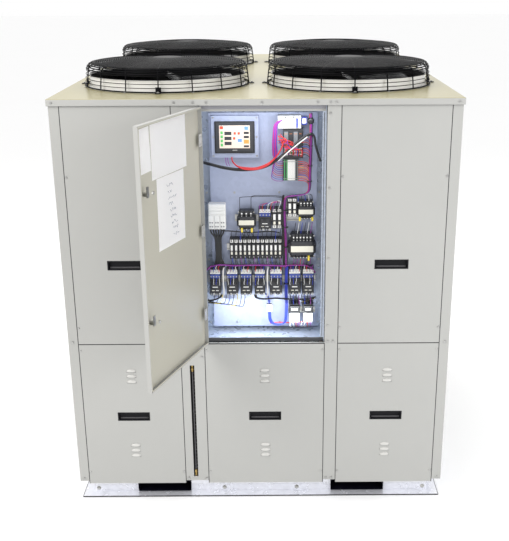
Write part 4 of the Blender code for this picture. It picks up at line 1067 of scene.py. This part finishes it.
# wires on the right of the strip into the side harness
for k in range(11):
    z = 1.87 - 0.0096 * k
    kind = ("red", "red", "purple", "orange", "red")[k % 5] if k > 2 else "red"
    lead([(0.206, 0.056, z), (0.222, 0.066, z + 0.002), (0.244, 0.07, z - 0.002), (0.256, 0.07, z - 0.014),
          (0.262, 0.068, z - 0.03)], kind, 0.0016)
# knot of red wires in front of the controller modules
for k in range(16):
    x = 0.136 + 0.0058 * k
    kind = ("red", "red", "purple", "red", "blue", "red", "black")[k % 7]
    lead([(0.112 + draw.uniform(-0.012, 0.018), 0.078, 1.985 + draw.uniform(-0.02, 0.03)),
          (0.128 + draw.uniform(-0.01, 0.02), 0.094, 1.972 + draw.uniform(-0.018, 0.018)),
          (0.15 + draw.uniform(-0.01, 0.03), 0.098, 1.955 + draw.uniform(-0.016, 0.02)),
          (x, 0.094, 1.932 + draw.uniform(-0.01, 0.014)), (x, 0.08, 1.915 - 0.001 * k)], kind, 0.0018)
for k in range(9):
    z = 1.99 - 0.0105 * k
    lead([(0.222, 0.072, z), (0.24, 0.078, z + 0.003), (0.256, 0.076, z - 0.004), (0.264, 0.072, z - 0.022)],
         ("red", "purple", "red", "black", "blue")[k % 5], 0.0016)
# side harness down to the right of the strip, then across and down beside the fuses
bundle([(0.266, 0.07, 2.112), (0.268, 0.072, 2.06), (0.268, 0.074, 1.99), (0.266, 0.072, 1.9), (0.264, 0.07, 1.82),
        (0.263, 0.07, 1.76), (0.258, 0.07, 1.722), (0.236, 0.07, 1.706), (0.196, 0.07, 1.7),
        (0.156, 0.07, 1.696), (0.141, 0.068, 1.684), (0.136, 0.066, 1.65), (0.137, 0.066, 1.56),
        (0.142, 0.066, 1.47), (0.142, 0.066, 1.39), (0.143, 0.064, 1.33), (0.146, 0.06, 1.305)], MIX, 0.002, 0.0072)
bundle([(0.132, 0.06, 1.7), (0.128, 0.064, 1.66), (0.128, 0.066, 1.58), (0.13, 0.066, 1.5), (0.132, 0.066, 1.4),
        (0.136, 0.062, 1.33)], ("black",) * 5, 0.0026, 0.005)
# blue bundle below, with its turn back up to the white plug
bundle([(0.146, 0.064, 1.318), (0.144, 0.066, 1.27), (0.143, 0.066, 1.18), (0.145, 0.066, 1.11), (0.143, 0.064, 1.05),
        (0.136, 0.062, 1.006), (0.112, 0.06, 0.994), (0.078, 0.06, 0.997), (0.06, 0.06, 1.018),
        (0.055, 0.06, 1.05), (0.055, 0.06, 1.078)], ("blue",) * 9, 0.0021, 0.0074)
loom.block(0.04, 0.07, PLATE_Y - 0.073, PLATE_Y - 0.048, 1.07, 1.112, len(wire_kinds), 0.003, 3)
bundle([(0.055, 0.06, 1.11), (0.053, 0.06, 1.135), (0.044, 0.056, 1.158), (0.03, 0.052, 1.168)], ("blue",) * 4,
       0.0022, 0.0046)
bundle([(0.058, 0.056, 0.999), (0.11, 0.052, 1.002), (0.17, 0.05, 1.0), (0.236, 0.05, 1.004), (0.262, 0.052, 1.0)],
       ("red", "red", "purple"), 0.0016, 0.003)
# thin loop above the left transformer and the middle contactor
for k in range(2):
    x = -0.092 + 0.058 * k
    z = 1.69 + 0.006 * k
    lead([(x, 0.05, 1.604), (x, 0.06, 1.64), (x + 0.001, 0.062, z - 0.01), (x + 0.01, 0.062, z),
          (0.01, 0.062, z + 0.003), (0.09, 0.062, z + 0.001), (0.128, 0.06, z - 0.006)], "black", 0.0016)
# wires on the contactor and fuse terminals
for k in range(8):
    kind = ("purple", "red", "blue", "white", "red", "purple", "black", "white")[k]
    x = 0.008 + 0.014 * k
    lead([(x, 0.058, 1.616), (x + 0.001, 0.072, 1.636), (x + 0.01, 0.07, 1.654 + 0.002 * k),
          (0.1, 0.068, 1.664 + 0.001 * k), (0.128, 0.064, 1.656)], kind, 0.0014)
for k in range(FUSES):
    x = fx0 + pitch * (k + 0.5)
    lead([(x, 0.052, fz1 - 0.014), (x, 0.06, fz1 + 0.01), (x + 0.001, 0.058, fz1 + 0.03),
          (x + 0.004, 0.052, fz1 + 0.046 + 0.002 * (k % 3))], ("black", "black", "blue", "black")[k % 4], 0.0015)
    for dx, kind in ((-0.003, "black"), (0.003, ("blue", "black", "purple")[k % 3])):
        lead([(x + dx, 0.052, fz0 + 0.01), (x + dx, 0.06, fz0 - 0.008), (x + dx * 1.6 + 0.004, 0.058, fz0 - 0.026),
              (x + 0.008, 0.056, 1.322 + 0.001 * (k % 4))], kind, 0.0015)
# horizontal trunk over the contactors
bundle([(-0.27, 0.06, 1.3), (-0.25, 0.07, 1.322), (-0.2, 0.074, 1.334), (-0.12, 0.074, 1.33), (-0.02, 0.074, 1.332),
        (0.07, 0.074, 1.33), (0.14, 0.074, 1.326)], ("black", "red", "black", "purple", "black", "black", "purple"),
       0.0022, 0.007)
bundle([(0.14, 0.074, 1.328), (0.2, 0.074, 1.33), (0.25, 0.072, 1.326), (0.276, 0.068, 1.31), (0.296, 0.06, 1.285)],
       ("red", "purple", "black", "purple", "black"), 0.0019, 0.0046)
for a, b in CONTACTORS:
    for k in range(4):
        x = a + (b - a) * (k + 0.5) / 4
        kind = ("purple", "blue", "white", "red", "black")[(k + int(a * 100)) % 5]
        lead([(x, 0.07, 1.294), (x, 0.082, 1.306), (x + draw.uniform(-0.005, 0.005), 0.08, 1.32),
              (x + 0.004, 0.072, 1.33)], kind, 0.0016)
        kind = ("white", "black", "white", "blue")[(k + int(b * 100)) % 4]
        lead([(x, 0.074, 1.262), (x + 0.001, 0.088, 1.254), (x + draw.uniform(-0.003, 0.003), 0.088, 1.236),
              (x + 0.001, 0.078, 1.222)], kind, 0.0015)
# white wires that drop between the contactors
for x in (-0.184, 0.046):
    bundle([(x + 0.004, 0.066, 1.316), (x, 0.072, 1.29), (x, 0.074, 1.23), (x + 0.002, 0.07, 1.18),
            (x - 0.004, 0.06, 1.15)], ("white", "white", "white"), 0.0024, 0.0032)
# looped wires from the lower terminals to the left wall
for k in range(9):
    x = -0.232 + 0.02 * k
    low = 1.126 - 0.003 * k
    kind = ("black", "black", "yellow", "black", "blue", "black", "yellow", "black", "black")[k]
    lead([(x, 0.068, 1.168), (x, 0.08, 1.152), (x - 0.01, 0.078, low + 0.006), (x - 0.032, 0.066, low - 0.002),
          (max(-0.262, x - 0.07), 0.056, low + 0.002), (-0.268, 0.046, low + 0.01)], kind, 0.0017)
bundle([(-0.27, 0.05, 1.128), (-0.24, 0.06, 1.134), (-0.205, 0.066, 1.15), (-0.196, 0.068, 1.166)], ("black",) * 4,
       0.003, 0.0048)
bundle([(-0.018, 0.066, 1.168), (-0.008, 0.07, 1.15), (0.03, 0.07, 1.142), (0.09, 0.07, 1.146), (0.15, 0.07, 1.142),
        (0.21, 0.07, 1.138), (0.262, 0.068, 1.14), (0.298, 0.06, 1.148)], ("black",) * 5, 0.0026, 0.0056)
bundle([(0.225, 0.066, 1.12), (0.26, 0.064, 1.128), (0.292, 0.06, 1.14)], ("yellow", "black"), 0.0024, 0.003)
for k in range(8):
    x = 0.166 + 0.015 * k
    lead([(x, 0.068, 1.166), (x, 0.08, 1.154), (x + 0.001, 0.078, 1.134), (x + 0.002, 0.07, 1.112)],
         ("black", "blue", "black", "purple")[k % 4], 0.0017)
    lead([(x, 0.074, 1.014), (x, 0.082, 1.004), (x + draw.uniform(-0.006, 0.006), 0.07, 0.99),
          (x + 0.004, 0.055, 0.978)], ("white", "white", "red", "purple")[k % 4], 0.0017)
# transformer taps
for k in range(6):
    x = 0.186 + 0.017 * k
    lead([(x, 0.06, 1.49), (x, 0.074, 1.508), (x + 0.004, 0.07, 1.53), (x + 0.008, 0.062, 1.556)],
         ("black", "white", "blue", "black", "white", "purple")[k], 0.0015)
    lead([(x, 0.06, 1.372), (x, 0.074, 1.362), (x - 0.002, 0.074, 1.346), (x - 0.003, 0.068, 1.33)],
         ("purple", "purple", "red", "purple", "black", "purple")[k], 0.0017)
for k in range(5):
    x = 0.206 + 0.018 * k
    lead([(x, 0.056, 1.664), (x, 0.066, 1.682), (x - 0.004, 0.066, 1.7), (x - 0.014, 0.066, 1.704)],
         ("blue", "black", "blue", "white", "black")[k], 0.0015)
for k in range(3):
    x = -0.084 + 0.024 * k
    lead([(x, 0.056, 1.512), (x + 0.004, 0.062, 1.498), (x + 0.01, 0.058, 1.484), (x + 0.012, 0.054, 1.47)], "black",
         0.0015)
# dark round plug at the end of the controller
loom.lathe([(0.0, 0.0), (0.015, 0.0), (0.0165, -0.002), (0.0165, -0.018), (0.012, -0.022), (0.0, -0.022)],
           (0.267, PLATE_Y - 0.06, 2.076), "Y", len(wire_kinds) + 1, 24)
loom.done(slot="device_plastic", angle=80.0)

tiewraps = Piece("cable_ties", BLACK, WHITE)
for x, z, span in ((0.137, 1.62, 0.016), (0.139, 1.53, 0.016), (0.142, 1.425, 0.014), (0.144, 1.225, 0.012),
                   (0.144, 1.14, 0.012), (0.265, 1.85, 0.012), (0.267, 1.95, 0.012), (0.263, 1.77, 0.012)):
    tiewraps.block(x - span, x + span, PLATE_Y - 0.08, PLATE_Y - 0.056, z, z + 0.004, 0, 0.004, 3)
tiewraps.done(slot="device_plastic")

# ---- sight gauge in the left middle post --------------------------------------------------------
gx0, gx1, gy0, gy1, gz0, gz1 = box("level_gauge")
gx, gy = (gx0 + gx1) / 2, gy0 + 0.0125
gauge = Piece("level_gauge_parts", BRASS, GLASS_TUBE, STEEL, GREY)
gauge.lathe([(0.0, 0.036), (0.0042, 0.036), (0.0042, gz1 - gz0 - 0.036), (0.0, gz1 - gz0 - 0.036)], (gx, gy, gz0),
            m=1, n=24)
for low, flip in ((gz0, 1), (gz1, -1)):
    gauge.lathe([(0.0, 0.0), (0.006, 0.0), (0.0075, 0.0015 * flip), (0.0075, 0.01 * flip), (0.006, 0.012 * flip),
                 (0.006, 0.016 * flip), (0.009, 0.018 * flip), (0.009, 0.03 * flip), (0.0072, 0.032 * flip),
                 (0.0072, 0.038 * flip), (0.0, 0.038 * flip)], (gx, gy, low), m=0, n=24)
    gauge.rod((gx, gy, low + 0.016 * flip), (gx, gy1 - 0.001, low + 0.016 * flip), 0.0055, 0, 16, 0.0005)
    gauge.rod((gx, gy1 - 0.01, low + 0.016 * flip), (gx, gy1 - 0.002, low + 0.016 * flip), 0.009, 0, 6, 0.0006)
for k in range(27):
    z = gz0 + 0.05 + k * (gz1 - gz0 - 0.1) / 26
    gauge.block(gx + 0.0056, gx + (0.009 if k % 5 else 0.0104), gy - 0.0004, gy + 0.0006, z, z + 0.0012, 2, 0.0)
gauge.done(nodes=("level_gauge",), slot="brass")

# ---- coils on the two sides ----------------------------------------------------------------------
for node, s in (("condenser_coil_left", -1), ("condenser_coil_right", 1)):
    dress(node, FINS, 0.0006)
    x0, x1, y0, y1, z0, z1 = box(node)
    outer = x1 if s > 0 else x0
    side = "right" if s > 0 else "left"
    coil = Piece("coil_details_" + side, GREY, COPPER, CREAM)
    for k in range(24):
        z = z0 + 0.03 + k * (z1 - z0 - 0.06) / 23
        coil.tube([(outer - s * 0.026, y1 - 0.004, z), (outer - s * 0.024, y1 + 0.006, z + 0.004),
                   (outer - s * 0.03, y1 + 0.009, z + 0.012), (outer - s * 0.04, y1 + 0.006, z + 0.02),
                   (outer - s * 0.046, y1 - 0.004, z + 0.024)], 0.0045, 1, 10, fine=4)
    for y in (y0 - 0.0005, y1 - 0.0015):
        coil.block(min(outer - s * 0.08, outer), max(outer - s * 0.08, outer), y, y + 0.002, z0, z1, 0, 0.0005)
    coil.rod((outer - s * 0.062, y1 + 0.001, z0 + 0.03), (outer - s * 0.062, y1 + 0.001, z1 - 0.03), 0.0095, 1, 20)
    coil.done(slot="copper")
    grille = Piece("coil_guard_" + side, BLACK)
    gx_ = outer + s * 0.0065
    for k in range(24):
        z = z0 + 0.01 + k * (z1 - z0 - 0.02) / 23
        grille.rod((gx_, y0 + 0.006, z), (gx_, y1 - 0.006, z), 0.0018, 0, 6)
    for k in range(41):
        y = y0 + 0.008 + k * (y1 - y0 - 0.016) / 40
        grille.rod((gx_ + s * 0.003, y, z0 + 0.006), (gx_ + s * 0.003, y, z1 - 0.006), 0.0016, 0, 6)
    for z in (z0 + 0.004, z1 - 0.016):
        xa, xb = sorted((outer, outer + s * 0.012))
        grille.block(xa, xb, y0, y1, z, z + 0.012, 0, 0.001)
    grille.done(slot="black_wire", weighted=False)

# ---- lower machine space ----------------------------------------------------------------------------
for name in ("a", "b"):
    dress("compressor_" + name + "_shell", SHELL, 0.0015, 30.0)
    for part in ("fixed_scroll", "orbiting_scroll", "crankshaft"):
        dress("compressor_" + name + "_" + part, SCROLL, 0.0004)
    x0, x1, y0, y1, z0, z1 = box("compressor_" + name + "_shell")
    cx, cy = (x0 + x1) / 2, (y0 + y1) / 2
    pot = Piece("compressor_details_" + name, BLACK, STEEL, LABEL, COPPER)
    pot.block(cx - 0.05, cx + 0.05, cy - 0.1445, cy - 0.112, z0 + 0.26, z0 + 0.37, 0, 0.006, 4)
    for dx in (-0.04, 0.04):
        for dz in (0.27, 0.36):
            pot.screw((cx + dx, cy - 0.1443, z0 + dz), (0, -1, 0), 0.0038, 1)
    for ring_z in (0.11, 0.372):
        pot.lathe([(0.1182, ring_z), (0.1205, ring_z + 0.001), (0.1205, ring_z + 0.007), (0.1182, ring_z + 0.008)],
                  (cx, cy, z0), m=0, n=72, closed=True)
    for dx in (-0.13, 0.13):
        for dy in (-0.13, 0.13):
            pot.screw((cx + dx, cy + dy, z0 + 0.0125), (0, 0, 1), 0.0085, 1, True)
    pot.done(slot="dark_paint")
dress("evaporator_tank", FOAM, 0.004, 35.0)
dress("water_pump", PUMP, 0.002, 35.0)
dress("suction_pipe", COPPER, 0.0, 50.0)
dress("discharge_pipe", COPPER, 0.0, 50.0)
dress("water_outlet_pipe", PIPE, 0.001, 40.0)
ox0, ox1, _, oy1, _, _ = box("water_outlet_pipe")
OUTLET_X, OUTLET_Z, OUTLET_BOLTS = (ox0 + ox1) / 2, 0.56, 0.06
outlet = Piece("outlet_flange_bolts", STEEL, RUBBER_AND_SHADE)
for k in range(8):
    a = math.pi / 8 + math.pi / 4 * k
    x, y, z = OUTLET_X + OUTLET_BOLTS * math.cos(a), oy1 - 0.003, OUTLET_Z + OUTLET_BOLTS * math.sin(a)
    outlet.rod((x, y - 0.024, z), (x, y + 0.001, z), 0.0052, 0, 6, 0.0008)
outlet.lathe([(0.082, 0.0), (0.092, 0.0005), (0.092, 0.0055), (0.082, 0.006)], (OUTLET_X, 1.2255, OUTLET_Z), "Y",
             m=1, n=56, closed=True)
outlet.done(slot="machined_steel")

bolts = Piece("base_details", STEEL, RUBBER_AND_SHADE)
for x in (-0.9, -0.2, 0.2, 0.9):
    for s, y in ((-1, by0), (1, by1)):
        bolts.screw((x, y, 0.06), (0, s, 0), 0.0085, 0, True)
bolts.done(slot="machined_steel")

# ---- floor, light and camera ---------------------------------------------------------------------
pale = material("studio_floor", (0.97, 0.97, 0.97), rough=0.75, shade=0.01, patch=0.6, bump=0.03)
ground = bmesh.new()
bmesh.ops.create_grid(ground, x_segments=8, y_segments=8, size=60.0)
mesh = bpy.data.meshes.new("studio_floor")
ground.to_mesh(mesh)
ground.free()
mesh.materials.append(pale)
floor = bpy.data.objects.new("studio_floor", mesh)
floor.location = (0.0, 0.0, -0.0015)
bpy.context.scene.collection.objects.link(floor)

world = bpy.data.worlds.new("studio")
world.use_nodes = True
backdrop = world.node_tree.nodes["Background"].inputs
backdrop["Color"].default_value = (1.0, 1.0, 1.0, 1.0)
backdrop["Strength"].default_value = 1.0
bpy.context.scene.world = world


def softbox(name, at, aim, size, power, colour=(1.0, 1.0, 1.0)):
    """Rectangular studio light aimed at a point."""
    lamp = bpy.data.lights.new(name, "AREA")
    lamp.shape = "RECTANGLE"
    lamp.size, lamp.size_y = size
    lamp.energy = power
    lamp.color = colour
    ob = bpy.data.objects.new(name, lamp)
    ob.location = at
    ob.rotation_euler = (Vector(aim) - Vector(at)).to_track_quat("-Z", "Y").to_euler()
    ob.visible_camera = False
    bpy.context.scene.collection.objects.link(ob)
    return ob


softbox("key_left", (-3.6, -4.6, 4.4), (0.0, -0.6, 1.2), (2.6, 2.2), 190.0, (1.0, 0.985, 0.96))
softbox("fill_right", (4.0, -4.2, 2.6), (0.2, -0.8, 1.1), (2.4, 2.2), 90.0, (0.97, 0.98, 1.0))
softbox("top_back", (0.0, 3.4, 5.2), (0.0, 0.3, 1.8), (3.2, 2.2), 120.0, (1.0, 0.99, 0.97))
softbox("compartment_floor_light", (0.03, ENC[2] + 0.012, 1.075), (0.03, PLATE_Y - 0.03, 0.945), (0.52, 0.03), 1.7,
        (0.9, 0.95, 1.0))
softbox("compartment_top_light", (0.03, ENC[2] + 0.012, 2.115), (0.03, PLATE_Y, 1.7), (0.52, 0.03), 1.0,
        (0.88, 0.92, 1.0))

bpy.context.scene.view_settings.view_transform = "Standard"

EYE = Vector((0.0888, -5.4927, 2.76))
PITCH, YAW, ROLL = 0.3326, 0.0049, -0.0038
ahead = Vector((math.sin(YAW) * math.cos(PITCH), math.cos(YAW) * math.cos(PITCH), -math.sin(PITCH)))
level = Vector((math.cos(YAW), -math.sin(YAW), 0.0))
over = level.cross(ahead)
right = math.cos(ROLL) * level + math.sin(ROLL) * over
up = -math.sin(ROLL) * level + math.cos(ROLL) * over
lens = bpy.data.cameras.new("photo_camera")
lens.sensor_fit = "AUTO"
lens.sensor_width, lens.lens = 36.0, 58.98
lens.shift_x, lens.shift_y = -0.04655, 0.0179
lens.clip_end = 200.0
camera = bpy.data.objects.new("photo_camera", lens)
camera.matrix_world = Matrix.Translation(EYE) @ Matrix((right, up, -ahead)).transposed().to_4x4()
bpy.context.scene.collection.objects.link(camera)
bpy.context.scene.camera = camera
